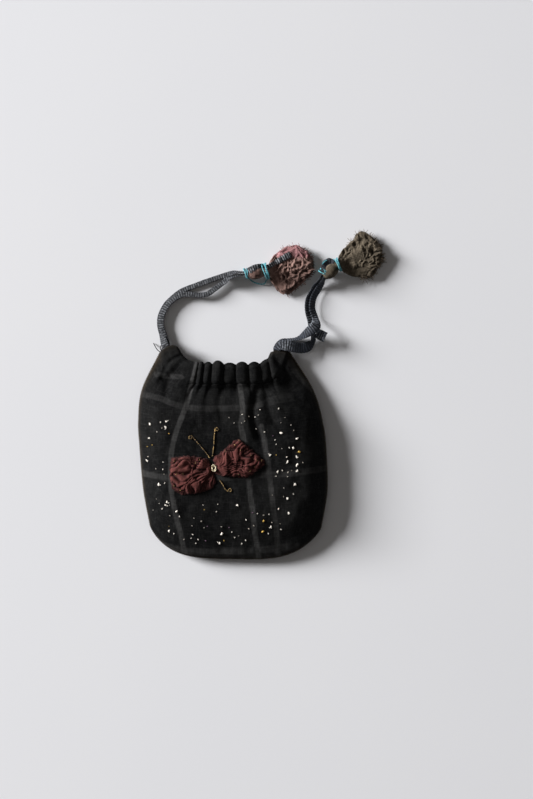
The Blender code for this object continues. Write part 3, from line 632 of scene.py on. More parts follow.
def flat_place(across, up):
    """X, Y and the bag's width for a place on a panel."""
    climb = np.minimum(up, 1.0)
    rise = np.clip(up - 1.0, 0.0, 1.0)
    left_x, left_y = side_at(left_line, climb)
    right_x, right_y = side_at(right_line, climb)
    left_x = left_x + 12.2 * MM * rise
    left_y = left_y + 0.8 * MM * rise
    right_x = right_x - 11.2 * MM * rise
    right_y = right_y - 1.2 * MM * rise
    low = BOTTOM_DEPTH * np.maximum(0.0, 1 - climb / 0.42) ** 2
    high = SEAM_DEPTH * np.maximum(0.0, (climb - 0.42) / 0.58) ** 2
    square = blend(blend(4.2, 3.2, across), 7.0, ease(climb))
    dip = np.maximum(0.0, 1 - np.abs(2 * across - 1) ** square) ** 0.85
    depth = np.where(rise > 0, blend(SEAM_DEPTH, MOUTH_DEPTH, rise), low + high)
    x = blend(left_x, right_x, across)
    y = blend(left_y, right_y, across) - depth * dip
    return x, y, right_x - left_x


def roll(distance, reach):
    share = np.minimum(1.0, distance / reach)
    return share * (2 - share)


def panel_shape(across, up, front):
    """X, Y, the inner height, the outer height and the distance to the sewn edge."""
    x, y, width = flat_place(across, up)
    climb = np.minimum(up, 1.0)
    rise = np.clip(up - 1.0, 0.0, 1.0)
    from_side = np.minimum(across, 1 - across) * width
    from_bottom = climb * SIDE_LENGTH
    arch = np.minimum(1.0, np.sin(np.pi * rise) * 2)
    hem = np.where(rise > 0, blend(2 * CLOTH, CASING, arch), 0)
    thick = np.where(rise > 0, hem, blend(CLOTH, 2 * CLOTH, ease((climb - 0.93) / 0.07)))
    if front:
        full = blend(BELLY_HEIGHT - CLOTH, FRONT_LIP, ease((climb - 0.62) / 0.38))
        base = SEAM_HEIGHT + 0.15 * MM
        inner = base + (full - base) * roll(from_side, 20 * MM) * roll(from_bottom, 22 * MM)
        outer = inner + thick
    else:
        base = SEAM_HEIGHT - 0.15 * MM
        full = np.where(rise > 0, BACK_LIP, blend(CLOTH, BACK_LIP, ease((climb - 0.85) / 0.15)))
        inner = blend(base, full, roll(from_side, 13 * MM) * roll(from_bottom, 13 * MM))
        outer = np.maximum(0.0, inner - thick)
    if front:
        open_end = np.sin(np.pi * rise**1.3) ** 0.6
        y = y + open_end * 3.9 * MM * np.exp(-((across * width / (6 * MM)) ** 2))
        y = y + open_end * 1.6 * MM * np.exp(-(((1 - across) * width / (9 * MM)) ** 2))
    edge = np.minimum(from_side, from_bottom + 0.3 * MM)
    return x, y, inner, outer, edge


print("left side:", len(left_line), "points")

# %% [markdown]
# ## The folds of the cloth
#
# Three kinds of fold make this bag look like cloth. The casing is bunched into round puffs with
# sharp valleys between them, which go on for a way below the stitching. A few longer creases run
# down from the shoulders and the gathers. Over all of it lie soft, shallow rumples of a few
# millimetres. Each is a small change in height, added to the plain shape above.

# %% Gathers, creases and rumples
MOUTH_VALLEYS = np.array((193, 199, 204.5, 212.4, 224, 236, 248.2, 259.7, 268, 276))
SEAM_VALLEYS = np.array((188, 195, 202, 210.5, 222.5, 236, 249.5, 262, 272, 283))
MIDDLE_VALLEY = 236
HEM_GAP = 0.25 * MM


def gathers(x, up):
    """The puffs' height, 0 in a valley and 1 on a puff, and where the gathering is at all."""
    puff = np.empty(x.shape)
    here = np.empty(x.shape)
    for row in range(len(x)):
        px, _ = in_picture(x[row], 0.0)
        share = up[row, 0] - 1.0
        valleys = blend(SEAM_VALLEYS, MOUTH_VALLEYS, max(share, 0.0))
        valleys = valleys + (valleys - MIDDLE_VALLEY) * max(-share, 0.0) * 1.1
        turns = np.interp(px, valleys, np.arange(len(valleys)))
        uneven = 0.80 + 0.20 * np.sin(np.floor(turns) * 2.4 + 1.0)
        puff[row] = np.abs(np.sin(np.pi * turns)) ** 0.6 * uneven
        here[row] = ease((px - valleys[0]) / 10) * ease((valleys[-1] - px) / 12)
    return puff, here


def crease(x, y, start, end, width, height, fade=0.25):
    """A fold along a straight line between two picture places, as a change in height."""
    a = np.array(on_table(*start))
    b = np.array(on_table(*end))
    way = b - a
    share = ((x - a[0]) * way[0] + (y - a[1]) * way[1]) / way.dot(way)
    bow = 0.12 * np.linalg.norm(way) * np.sin(np.pi * np.clip(share, 0, 1))
    away = ((x - a[0]) * way[1] - (y - a[1]) * way[0]) / np.linalg.norm(way) - bow
    along = ease((share + fade) / (2 * fade)) * ease((1 + fade - share) / (2 * fade))
    return height * along * np.exp(-((away / width) ** 2))


def rumple(x, y, size, seed, stretch=1.0):
    """Soft noise in the size given, about -1 to 1."""
    flat = [
        noise.noise(Vector((px / size, py / (size * stretch), seed)))
        for px, py in zip(x.ravel(), y.ravel())
    ]
    return np.array(flat).reshape(x.shape) * 1.6


CREASES = [
    ((258, 388), (263, 446), 2.2 * MM, -1.3 * MM),
    ((252, 384), (251, 436), 2.6 * MM, 0.7 * MM),
    ((269, 380), (280, 432), 2.6 * MM, -0.8 * MM),
    ((276, 378), (296, 436), 3.4 * MM, 0.6 * MM),
    ((284, 366), (305, 404), 2.2 * MM, -0.7 * MM),
    ((225, 386), (222, 420), 2.4 * MM, -0.7 * MM),
    ((209, 384), (203, 424), 2.4 * MM, 0.6 * MM),
    ((198, 376), (190, 416), 2.2 * MM, -0.7 * MM),
    ((183, 362), (166, 398), 2.2 * MM, -1.0 * MM),
    ((176, 356), (156, 382), 2.0 * MM, 0.8 * MM),
    ((172, 352), (148, 372), 1.5 * MM, -1.3 * MM),
    ((181, 355), (163, 372), 1.3 * MM, -1.2 * MM),
    ((186, 366), (150, 384), 2.4 * MM, 0.8 * MM),
    ((274, 356), (290, 372), 1.6 * MM, -0.9 * MM),
    ((286, 356), (303, 384), 1.8 * MM, 0.7 * MM),
    ((150, 400), (158, 440), 3.0 * MM, -0.5 * MM),
    ((170, 520), (215, 548), 3.2 * MM, -0.4 * MM),
    ((236, 486), (262, 540), 4.0 * MM, 0.35 * MM),
    ((300, 430), (306, 500), 3.6 * MM, -0.45 * MM),
    ((282, 540), (312, 520), 3.0 * MM, -0.4 * MM),
]


def mouth_edge(lip, lip_inner):
    """Rows of points that turn over the mouth's edge, from the outer side to the inner one."""
    middle = (lip[:, 2] + lip_inner) / 2
    reach = (lip[:, 2] - lip_inner) / 2
    turn = []
    for angle in np.radians((36, 72, 108, 144)):
        fold = np.abs(reach) * np.sin(angle)
        turn.append(np.stack([lip[:, 0], lip[:, 1] + fold, middle + reach * np.cos(angle)], axis=-1))
    return np.stack(turn)


def inner_hem(across, front, ripple):
    """Rows of points down the inner side of the casing, inside the mouth."""
    hem = []
    for rise in np.linspace(1, 0.02, 9):
        x, y, inner, _, _ = panel_shape(across, np.full(len(across), 1 + rise), front)
        level = inner + (HEM_GAP + ripple if front else -HEM_GAP - ripple)
        hem.append(np.stack([x, y, level], axis=-1))
    return np.stack(hem)


def panel_grid(front, columns, rows, casing_rows, creases):
    """Points of a panel's outer side, over the mouth's edge and down inside as the hem."""
    edge_share = np.linspace(0, 1, columns)
    across = blend(edge_share, 0.5 - 0.5 * np.cos(np.pi * edge_share), 0.35)
    body_up = blend(np.linspace(0, 1, rows), 1 - np.cos(np.linspace(0, 1, rows) * np.pi / 2), 0.15)
    up = np.concatenate([body_up, np.linspace(1, 2, casing_rows)[1:]])
    a, u = np.meshgrid(across, up)
    x, y, inner, outer, edge = panel_shape(a, u, front)
    puff, here = gathers(x, u)
    rise = np.clip(u - 1, 0, 1)
    below = np.clip(1 - u, 0, 1) * SIDE_LENGTH
    bunch = here * np.where(u >= 1, 1.0, np.exp(-below / (8.5 * MM)))
    strength = (2.5 if front else 0.9) * MM
    lift = bunch * (puff - 0.35) * strength * (1 - 0.25 * rise)
    cinch = here * np.exp(-(((u - 1.03) * SIDE_LENGTH / (2.0 * MM)) ** 2)) * -0.9 * MM
    away = ease(edge / (4 * MM))
    soft = rumple(x, y, 11 * MM, 5.0 + front) * 0.42 * MM * away
    soft += rumple(x, y, 4.2 * MM, 9.0 + front, 1.5) * 0.15 * MM * away
    soft += rumple(x, y, 1.9 * MM, 3.0 + front) * 0.05 * MM
    for start, end, width, height in creases:
        soft += crease(x, y, start, end, width, height) * away
    pucker = np.sin((x + y) / (1.25 * MM)) * np.exp(-edge / (1.6 * MM)) * 0.16 * MM
    rounded = CLOTH * (1 - np.minimum(1, edge / (1.6 * MM))) ** 2
    rounded = np.where(u > 1.0, 0.6 * rounded, rounded)
    if front:
        height = outer + lift + cinch + soft + pucker - rounded
    else:
        height = np.maximum(0.05 * MM, outer - np.minimum(lift, 0.7 * MM) + rounded)
    y = y + here * (puff - 0.4) * rise**2 * (1.9 if front else 0.8) * MM
    points = np.stack([x, y, height], axis=-1)
    turn = mouth_edge(points[-1], inner[-1] + (HEM_GAP if front else -HEM_GAP))
    hem = inner_hem(across, front, (puff[-1] - 0.4) * here[-1] * 0.3 * MM)
    grid = np.concatenate([points, turn, hem])
    walked = np.linalg.norm(np.diff(grid[:, columns // 2], axis=0), axis=-1)
    down = np.concatenate([[0.0], np.cumsum(walked)])[:, None] + np.zeros(columns)
    cloth_place = np.stack([np.broadcast_to(across * POUCH_WIDTH, down.shape), down], axis=-1)
    extra = len(grid) - len(points)
    # The rim mark: a brownish line along the sewn edge, fainter on the casing.
    paler_share = np.exp(-edge / (0.55 * MM)) * np.where(u > 1.0, 0.35, 1.0)
    puffed = here * bunch * puff
    marks = {
        "rim": np.vstack([paler_share, np.repeat(paler_share[-1:], extra, axis=0)]),
        "puff": np.vstack([puffed, np.repeat(puffed[-1:], extra, axis=0)]),
    }
    return grid, cloth_place, marks


def stripe(x, y, route, width, strength):
    """How much of a stripe covers each place: 1 in its middle, fading over its soft edges."""
    line = smooth_line([on_table(*stop) for stop in route], 8)
    nearest = np.full(x.shape, 1.0)
    for (ax, ay), (bx, by) in zip(line[:-1], line[1:]):
        wx, wy = bx - ax, by - ay
        share = np.clip(((x - ax) * wx + (y - ay) * wy) / (wx * wx + wy * wy), 0, 1)
        away = np.hypot(x - ax - share * wx, y - ay - share * wy)
        nearest = np.minimum(nearest, away)
    soft = 0.55 * MM
    return strength * (1 - ease((nearest - width / 2 + soft / 2) / soft))


# %% [markdown]
# ## The front panel
#
# They are given as marks on the mesh along the lines where they run, so the finish can soften and
# break them up thread by thread.

# %% The front panel's mesh
STRIPES = [
    ([(197.6, 362), (194.6, 374.7), (191.3, 386.3), (186.3, 406), (181.4, 419.5), (176.4, 432.8),
      (172.2, 451), (171.2, 472), (172.2, 492.5), (174.7, 505.7), (177.2, 519), (181.4, 535.6),
      (184.7, 556)], 3.0 * MM, 1.0),
    ([(240, 386), (241.9, 399.6), (242.7, 412.9), (241, 426), (243.5, 437.7),
      (246.5, 458), (248.5, 479), (250.2, 494), (252.7, 510.7), (254.3, 527.3), (256.8, 543.9),
      (259, 560)], 3.1 * MM, 1.0),
    ([(261.6, 426), (262.6, 432.8), (266, 452), (269.3, 472.6), (272.6, 502.4), (276.7, 535.6),
      (278, 558)], 3.1 * MM, 0.66),
    ([(290, 362), (296, 372), (303, 380), (313, 390)], 3.4 * MM, 0.7),
    ([(140, 394), (150, 396), (162, 399), (174, 404), (186, 407), (206, 408.5), (232, 408),
      (252, 407), (262, 404)], 3.4 * MM, 0.36),
    ([(268, 402), (279, 399), (290, 397)], 5.0 * MM, 0.2),
    ([(138, 472), (152, 475), (170, 477), (200, 478), (240, 476), (269, 474.5), (292, 473),
      (326, 468)], 3.6 * MM, 0.5),
    ([(160, 545), (186, 551), (215, 551.5), (250, 550.5), (296, 546)], 4.0 * MM, 0.5),
    ([(156, 374), (166, 376), (182, 377)], 3.0 * MM, 0.4),
]
SHEET_THICK = 0.55 * MM
grid, cloth_place, marks = panel_grid(True, columns=190, rows=158, casing_rows=34, creases=CREASES)
woven = np.zeros(grid.shape[:2])
for route, width, strength in STRIPES:
    woven = np.maximum(woven, stripe(grid[..., 0], grid[..., 1], route, width, strength))
marks["stripe"] = woven
front = sheet_piece("front_panel_cloth", grid, cloth_place, marks)
finish_with(front, "SOLIDIFY", thickness=SHEET_THICK, offset=-1.0)
print("front panel:", grid.shape, "z up to", round(float(grid[..., 2].max()) * 1000, 1), "mm")

# %% [markdown]
# The cloth's colour is near black, with a brownish bloom where it has faded and a brownish line
# along the rim. Blotches and short streaks of thicker thread break it up. The stripes are only a
# little paler than the ground, and thread by thread they let some of it through. The weave and a
# fine fuzz are in the bump, which is why the black still reads as cloth.

# %% The black checked cloth
def checked_cloth(name, fade_share):
    made, tree, shader = start_material(name, roughness=0.9, sheen=0.012)
    shader.inputs["Specular IOR Level"].default_value = 0.05
    shader.inputs["Sheen Tint"].default_value = (0.8, 0.8, 0.82, 1)
    coordinates = add_node(tree, "ShaderNodeTexCoord")
    place = coordinates.outputs["Object"]
    threads = use_group(tree, weave, Place=coordinates.outputs["UV"], Threads_per_metre=1750.0)
    age = use_group(tree, aged, Place=place)
    broken = surface_noise(tree, place, 420.0, 3.0, 0.7)
    stripe_mark = add_node(tree, "ShaderNodeAttribute", attribute_name="stripe").outputs["Fac"]
    rim_mark = add_node(tree, "ShaderNodeAttribute", attribute_name="rim").outputs["Fac"]
    fade = calculate(tree, "MULTIPLY", age["Fade"], fade_share)
    ground = mix_colours(tree, fade, (0.0015, 0.0016, 0.0018), (0.0080, 0.0078, 0.0073))
    slub = calculate(tree, "MULTIPLY", threads["Tone"], 0.32)
    ground = mix_colours(tree, slub, ground, (0.0062, 0.0064, 0.0068))
    blotches = surface_noise(tree, place, 260.0, 5.0, 0.72)
    blotches = add_node(tree, "ShaderNodeMapRange", {0: blotches, 1: 0.50, 2: 0.72, 4: 0.85})
    ground = mix_colours(tree, blotches.outputs[0], ground, (0.0135, 0.0137, 0.0134))
    for streaks in ((1500.0, 170.0, 0.0), (170.0, 1500.0, 0.0)):
        along = add_node(
            tree, "ShaderNodeVectorMath", {0: coordinates.outputs["UV"], 1: streaks}, operation="MULTIPLY"
        )
        slubs = surface_noise(tree, along.outputs[0], 1.0, 2.0, 0.6)
        slubs = add_node(tree, "ShaderNodeMapRange", {0: slubs, 1: 0.52, 2: 0.74, 4: 0.6})
        ground = mix_colours(tree, slubs.outputs[0], ground, (0.0175, 0.0176, 0.0175))
    thin = add_node(tree, "ShaderNodeMapRange", {0: broken, 1: 0.30, 2: 0.62, 3: 0.45, 4: 1.0})
    share = calculate(tree, "MULTIPLY", stripe_mark, thin.outputs[0])
    share = calculate(tree, "MULTIPLY", share, calculate(tree, "ADD", 0.62, threads["Tone"]))
    striped = mix_colours(tree, share, ground, (0.040, 0.0395, 0.0390))
    # A brownish line along the rim, in patches.
    lightened = calculate(tree, "MULTIPLY", rim_mark, broken)
    lightened = mix_colours(tree, lightened, striped, (0.050, 0.037, 0.024))
    specks = calculate(tree, "MULTIPLY", age["Lint"], 0.35)
    tree.links.new(
        mix_colours(tree, specks, lightened, (0.060, 0.057, 0.052)), shader.inputs["Base Color"]
    )
    relief = calculate(tree, "ADD", threads["Height"], calculate(tree, "MULTIPLY", broken, 1.2))
    add_relief(tree, shader, relief, 0.00010)
    return made


black_check = checked_cloth("black_checked_cloth", 0.75)
place_piece(front, black_check, "front_panel", slot="checked_cloth")

# %% [markdown]
# ## The back panel
#
# The back lies flat on the table, so it is the same cloth with hardly any puff, turned face down.
# Its faces are wound the other way round, so that its outer side looks at the table. Its check
# can't be seen, so its stripes are straight ones, at places in millimetres along X and along Y.

# %% The back panel
BACK_WARP = (-36, -2, 24)
BACK_WEFT = (-58, -12, 28)
grid_back, place_back, marks_back = panel_grid(False, columns=120, rows=96, casing_rows=20, creases=[])
woven = np.zeros(grid_back.shape[:2])
for axis, places, half_width, strength in ((0, BACK_WARP, 1.3 * MM, 1.0), (1, BACK_WEFT, 1.5 * MM, 0.5)):
    for middle in places:
        past = np.abs(grid_back[..., axis] - middle * MM) - half_width
        woven = np.maximum(woven, strength * (1 - ease(past / (0.7 * MM))))
marks_back["stripe"] = woven
back = sheet_piece("back_panel_cloth", grid_back, place_back, marks_back, flip=True)
finish_with(back, "SOLIDIFY", thickness=SHEET_THICK, offset=-1.0)
place_piece(back, checked_cloth("black_back_cloth", 0.6), "back_panel", slot="back_cloth")

# %% [markdown]
# ## Setting things down on the cloth
#
# Everything sewn to the front has to lie on the cloth as it now is, puffs and creases included. A
# tree of the front's faces answers one question quickly: how high is the cloth at this place?

# %% How high the cloth is
depsgraph = bpy.context.evaluated_depsgraph_get()
front_tree = BVHTree.FromObject(front, depsgraph)


def cloth_height(x, y):
    hit = front_tree.ray_cast(Vector((x, y, 0.1)), Vector((0, 0, -1)))[0]
    return hit.z if hit else SEAM_HEIGHT


print("the cloth's height in the middle:", round(cloth_height(0, 0) * 1000, 1), "mm")

# %% [markdown]
# ## The seam round the bag
#
# The panels were sewn together by hand and turned, so the edge shows as a soft ridge with a line
# of small stitches in the groove. A row of short thread pieces in that groove gives it. Each is a
# bent bit of thread from one step of the outline towards the next, tilted up or down by turns.

# %% Helpers for threads
def thread_points(line, radius, sides=6, start_angle=0.0):
    """Rings of points round a line, for a round thread."""
    line = np.array(line, float)
    along = unit(np.gradient(line, axis=0))
    guide = np.tile([0.0, 0.0, 1.0], (len(line), 1))
    guide[np.abs(along[:, 2]) > 0.95] = (1.0, 0.0, 0.0)
    side = unit(np.cross(along, guide))
    rise = np.cross(side, along)
    angles = start_angle + 2 * np.pi * np.arange(sides) / sides
    radius = np.broadcast_to(radius, len(line))[:, None, None]
    ring = side[:, None] * np.cos(angles)[:, None] + rise[:, None] * np.sin(angles)[:, None]
    return line[:, None] + ring * radius


def plied_lines(line, radius, pitch, plies=2):
    """The centrelines of the plies that are twisted together along a line."""
    dense, at = even_steps(np.array(line, float), pitch / 8)
    along = unit(np.gradient(dense, axis=0))
    guide = np.tile([0.0, 0.0, 1.0], (len(dense), 1))
    guide[np.abs(along[:, 2]) > 0.95] = (1.0, 0.0, 0.0)
    side = unit(np.cross(along, guide))
    rise = np.cross(side, along)
    lines = []
    for ply in range(plies):
        angle = 2 * np.pi * (at / pitch + ply / plies)
        offset = side * np.cos(angle)[:, None] + rise * np.sin(angle)[:, None]
        lines.append(dense + offset * radius * 0.55)
    return lines


def threads_piece(name, lines, radius, sides=6):
    """One piece of many round threads with closed ends."""
    points = []
    faces = []
    places = []
    for line in lines:
        rings = thread_points(line, radius, sides)
        start = len(points)
        points.extend(rings.reshape(-1, 3).tolist())
        walked = np.concatenate([[0], np.cumsum(np.linalg.norm(np.diff(line, axis=0), axis=1))])
        for at in walked:
            places.extend((side / sides * 0.002, at) for side in range(sides))
        for station in range(len(rings) - 1):
            here = start + station * sides
            for side in range(sides):
                after = (side + 1) % sides
                faces.append((here + side, here + after, here + sides + after, here + sides + side))
        faces.append(tuple(start + side for side in reversed(range(sides))))
        faces.append(tuple(len(points) - sides + side for side in range(sides)))
    mesh = bpy.data.meshes.new(name)
    mesh.from_pydata(points, [], faces)
    layer = mesh.uv_layers.new(name="cloth")
    for loop in mesh.loops:
        layer.data[loop.index].uv = places[loop.vertex_index]
    made = stand_mesh(mesh)
    shape = bmesh.new()
    shape.from_mesh(mesh)
    bmesh.ops.recalc_face_normals(shape, faces=shape.faces)
    shape.to_mesh(mesh)
    shape.free()
    return made


# %% The thread finish
def spun_thread(name, dark, light, roughness=0.6, metallic=0.0, sheen=0.04, edges=(0.34, 0.66)):
    made, tree, shader = start_material(name, roughness=roughness, sheen=sheen, metallic=metallic)
    shader.inputs["Specular IOR Level"].default_value = 0.2
    place = add_node(tree, "ShaderNodeTexCoord").outputs["Object"]
    uneven = surface_noise(tree, place, 1400.0, 2.0, 0.6)
    uneven = add_node(tree, "ShaderNodeMapRange", {0: uneven, 1: edges[0], 2: edges[1]}).outputs[0]
    tree.links.new(mix_colours(tree, uneven, dark, light), shader.inputs["Base Color"])
    fibres = add_node(tree, "ShaderNodeTexCoord").outputs["UV"]
    fine = surface_noise(tree, fibres, 9000.0, 1.0)
    add_relief(tree, shader, fine, 0.00005)
    return made


black_thread = spun_thread("black_sewing_thread", (0.003, 0.003, 0.004), (0.012, 0.011, 0.011), sheen=0.0)
brown_thread = spun_thread("brown_seam_thread", (0.020, 0.016, 0.012), (0.085, 0.066, 0.046))
print("thread finishes are ready")

# %% The seam's stitches
STITCH_STEP = 1.15 * MM
STITCH_OUT = 0.12 * MM
SEAM_THREAD = 0.16 * MM
sewn = [(0.0, climb) for climb in np.linspace(1.0, 0.0, 120)]
sewn += [(across, 0.0) for across in np.linspace(0.0, 1.0, 160)[1:-1]]
sewn += [(1.0, climb) for climb in np.linspace(0.0, 1.0, 120)]
outline = []
for across, climb in sewn:
    x, y, _ = flat_place(across, climb)
    outline.append((float(x), float(y), SEAM_HEIGHT))
outline, _ = even_steps(np.array(outline), STITCH_STEP)
outward = unit(np.cross(np.gradient(outline, axis=0), [0, 0, 1.0]))
seam_lines = []
for number in range(len(outline) - 1):
    tilt = 0.25 * MM * (1 if number % 2 else -1)
    a = outline[number] + outward[number] * STITCH_OUT + [0, 0, tilt]
    b = outline[number] * 0.25 + outline[number + 1] * 0.75 + outward[number] * STITCH_OUT
    seam_lines.append(np.array([a, (a + b) / 2 + outward[number] * 0.10 * MM, b - [0, 0, tilt]]))
seam = threads_piece("seam_stitches", seam_lines, SEAM_THREAD, 5)
place_piece(seam, brown_thread, slot="gold_thread")

# %% [markdown]
# ## The butterfly
#
# Each wing is a scrap of maroon cloth, larger than the space it fills, pushed into wrinkles and
# tacked down. That is a job for cloth simulation: a sheet with the wing's outline is held at its
# rim and at some tacking stitches, with a hint of folds that fan out from the knot, and the cloth
# is told to grow by nearly a third. It has nowhere to go but up, and it buckles as the real one
# did. The sheet is simulated twenty times larger, where the solver is steady, and brought back to
# size. What dips below its tacks is folded up again, because the panel under it is in the way.

# %% A helper that ruches a wing
GROWN = 20.0
LAST_STEP = 24
FOLD_RAYS = 17
FOLD_LIMIT = 2.3 * MM
BUTTERFLY = (-10.8 * MM, -7.6 * MM)


def wing_grid(outline_mm, count):
    """A square grid of points bent to fill an outline, with its share of the way to the rim."""
    rim, _ = even_steps(smooth_line([*outline_mm, outline_mm[0]], 8), 0.05)
    torn = np.array([noise.noise(Vector((x * 0.55, y * 0.55, 4.0))) for x, y in rim])
    torn += [0.5 * noise.noise(Vector((x * 1.7, y * 1.7, 8.0))) for x, y in rim]
    hub = rim.mean(axis=0)
    rim = rim + unit(rim - hub) * torn[:, None] * 0.9
    steps = np.linspace(-1, 1, count)
    u, v = np.meshgrid(steps, steps)
    reach = np.maximum(np.abs(u), np.abs(v))
    angle = np.arctan2(v, u)
    rim_angle = np.unwrap(np.arctan2(rim[:, 1] - hub[1], rim[:, 0] - hub[0]))
    if rim_angle[-1] < rim_angle[0]:
        rim = rim[::-1]
        rim_angle = np.unwrap(np.arctan2(rim[:, 1] - hub[1], rim[:, 0] - hub[0]))
    wanted = rim_angle[0] + np.mod(angle - rim_angle[0], 2 * np.pi)
    rim_x = np.interp(wanted, rim_angle, rim[:, 0])
    rim_y = np.interp(wanted, rim_angle, rim[:, 1])
    x = hub[0] + reach * (rim_x - hub[0])
    y = hub[1] + reach * (rim_y - hub[1])
    return np.stack([x, y], axis=-1) * MM, reach


def buckled(piece, pins, growth):
    """The piece's points after its cloth has grown by this share between its pins."""
    cloth = piece.modifiers.new("ruching", "CLOTH")
    settings = cloth.settings
    settings.quality = 5
    settings.mass = 0.2
    settings.tension_stiffness = 12
    settings.compression_stiffness = 12
    settings.shear_stiffness = 4
    settings.bending_stiffness = 0.25
    settings.shrink_min = -growth
    settings.vertex_group_mass = pins.name
    settings.effector_weights.gravity = 0
    cloth.collision_settings.use_self_collision = False
    cloth.point_cache.frame_start = 1
    cloth.point_cache.frame_end = LAST_STEP
    for step in range(1, LAST_STEP + 1):
        bpy.context.scene.frame_set(step)
    bpy.context.view_layer.objects.active = piece
    bpy.ops.object.modifier_apply(modifier=cloth.name)
    bpy.context.scene.frame_set(1)
    places = np.empty(len(piece.data.vertices) * 3)
    piece.data.vertices.foreach_get("co", places)
    return places.reshape(-1, 3)


def ruched_wing(name, outline_mm, tacks_mm, seed, count=72, growth=0.3, puff=2.0 * MM):
    """A wing of buckled cloth, laid on the front panel. The places are in millimetres."""
    flat, reach = wing_grid(outline_mm, count)
    x, y = flat[..., 0], flat[..., 1]
    turn = np.arctan2(y - BUTTERFLY[1], x - BUTTERFLY[0]) + 0.30 * rumple(x, y, 9 * MM, seed + 3)
    folds = np.abs(np.sin(FOLD_RAYS * turn)) ** 0.6
    start = np.clip(np.hypot(x - BUTTERFLY[0], y - BUTTERFLY[1]) / (7 * MM), 0.2, 1)
    bumps = (folds - 0.45) * start * 0.9 * MM + rumple(x, y, 3.2 * MM, seed) * 0.30 * MM + 0.4 * MM
    held = reach > 0.985
    for tack in tacks_mm:
        held |= np.hypot(x - tack[0] * MM, y - tack[1] * MM) < 0.55 * MM
    height = np.where(held, 0.0, np.abs(bumps) * ease((1 - reach) / 0.12))
    grid = np.stack([x, y, height], axis=-1) * GROWN
    piece = sheet_piece(name, grid, flat)
    pins = piece.vertex_groups.new(name="tacked")
    pins.add(np.flatnonzero(held.ravel()).tolist(), 1.0, "REPLACE")
    places = buckled(piece, pins, growth) / GROWN
    rise = np.abs(places[:, 2])
    rise = FOLD_LIMIT * np.tanh(rise / FOLD_LIMIT)
    dome = puff * (1 - reach.ravel() ** 4)
    pressed = np.exp(-np.abs(places[:, 2]) / (0.25 * MM)) * 0.5
    for number, (px, py) in enumerate(places[:, :2]):
        lift = rise[number] + dome[number] * (1 - pressed[number]) * 0.55
        places[number, 2] = cloth_height(px, py) + 0.35 * MM + lift
    piece.data.vertices.foreach_set("co", places.ravel())
    # The fold mark: high on the raised crests, painted as highlight, low in the valleys, painted as shade.
    paler_share = rise / (1.5 * MM) * (0.30 + 0.80 * folds.ravel())
    add_mark(piece.data, "fold", np.clip(paler_share, 0, 1))
    piece.vertex_groups.clear()
    finish_with(piece, "SOLIDIFY", thickness=0.22 * MM, offset=-1.0)
    finish_with(piece, "SUBSURF", levels=1, render_levels=1)
    return piece


# %% [markdown]
# The wings' cloth is a thin maroon crêpe. Its crests are painted rose as a highlight, with a little
# fading mixed in, and its folds are painted nearly black as shade. The fold mark that the ruching
# left behind carries both.

# %% The maroon crêpe
def crepe(name, deep, middle, crest, threads_per_metre, weave_share=0.25):
    made, tree, shader = start_material(name, roughness=0.86, sheen=0.03)
    shader.inputs["Specular IOR Level"].default_value = 0.08
    coordinates = add_node(tree, "ShaderNodeTexCoord")
    fold = add_node(tree, "ShaderNodeAttribute", attribute_name="fold").outputs["Fac"]
    threads = use_group(
        tree, weave, Place=coordinates.outputs["UV"], Threads_per_metre=threads_per_metre
    )
    age = use_group(tree, aged, Place=coordinates.outputs["Object"], Patches_per_metre=260.0)
    # Painted light: the deep colour is shade in the valleys, the crest colour a highlight on the crests.
    low = add_node(tree, "ShaderNodeMapRange", {0: fold, 1: 0.0, 2: 0.42}).outputs[0]
    high = add_node(tree, "ShaderNodeMapRange", {0: fold, 1: 0.35, 2: 1.0}).outputs[0]
    high = calculate(tree, "MULTIPLY", high, calculate(tree, "ADD", 0.45, age["Fade"]))
    colour = mix_colours(tree, low, deep, middle)
    colour = mix_colours(tree, high, colour, crest)
    colour = mix_colours(tree, calculate(tree, "MULTIPLY", threads["Tone"], weave_share), colour, crest)
    # Painted shade between the threads of the weave.
    between = calculate(tree, "SUBTRACT", 1.0, threads["Height"])
    between = calculate(tree, "MULTIPLY", between, weave_share)
    tree.links.new(mix_colours(tree, between, colour, deep), shader.inputs["Base Color"])
    add_relief(tree, shader, threads["Height"], 0.00010)
    return made


maroon = crepe(
    "maroon_crepe", (0.006, 0.0020, 0.0020), (0.066, 0.0165, 0.0150), (0.140, 0.044, 0.038), 3200.0
)
LEFT_WING = [(171.4, 456.8), (188, 455.2), (206, 457.6), (211.5, 464), (214, 470), (216, 483)]
LEFT_WING += [(206, 491), (187, 494), (175, 491), (170.6, 479), (170.2, 468)]
RIGHT_WING = [(213.7, 457.6), (226, 447.7), (238.6, 439), (251, 448.5), (265, 461.8), (259, 469)]
RIGHT_WING += [(247.7, 476.7), (227.8, 476), (216, 473.4), (213.4, 466)]


def in_mm(route):
    return [tuple(c / MM for c in on_table(*stop)) for stop in route]


left_tacks = in_mm([(212, 469), (192, 464), (181, 473), (198, 480), (181, 487)])
right_tacks = in_mm([(217, 466), (231, 459), (240, 450), (243, 466), (257, 463), (229, 471)])
wing_left = ruched_wing("wing_left_crepe", in_mm(LEFT_WING), left_tacks, 21)
wing_right = ruched_wing("wing_right_crepe", in_mm(RIGHT_WING), right_tacks, 34)
place_piece(wing_left, maroon, "wing_left", slot="maroon_cloth")
place_piece(wing_right, maroon, "wing_right", slot="maroon_cloth")

# %% [markdown]
# ## Gold thread
#
# The feelers, the tail and the knot are gold thread, two plies twisted together and laid on the
# cloth, with a curl at each end. The knot is the same thread wound over itself a few times.

# %% The feelers, the tail and the knot
THREAD_RADIUS = 0.27 * MM
CURL_RADIUS = 1.15 * MM
gold = spun_thread(
    "gold_thread",
    (0.010, 0.007, 0.004),
    (0.46, 0.30, 0.11),
    roughness=0.45,
    metallic=0.3,
    edges=(0.50, 0.58),
)


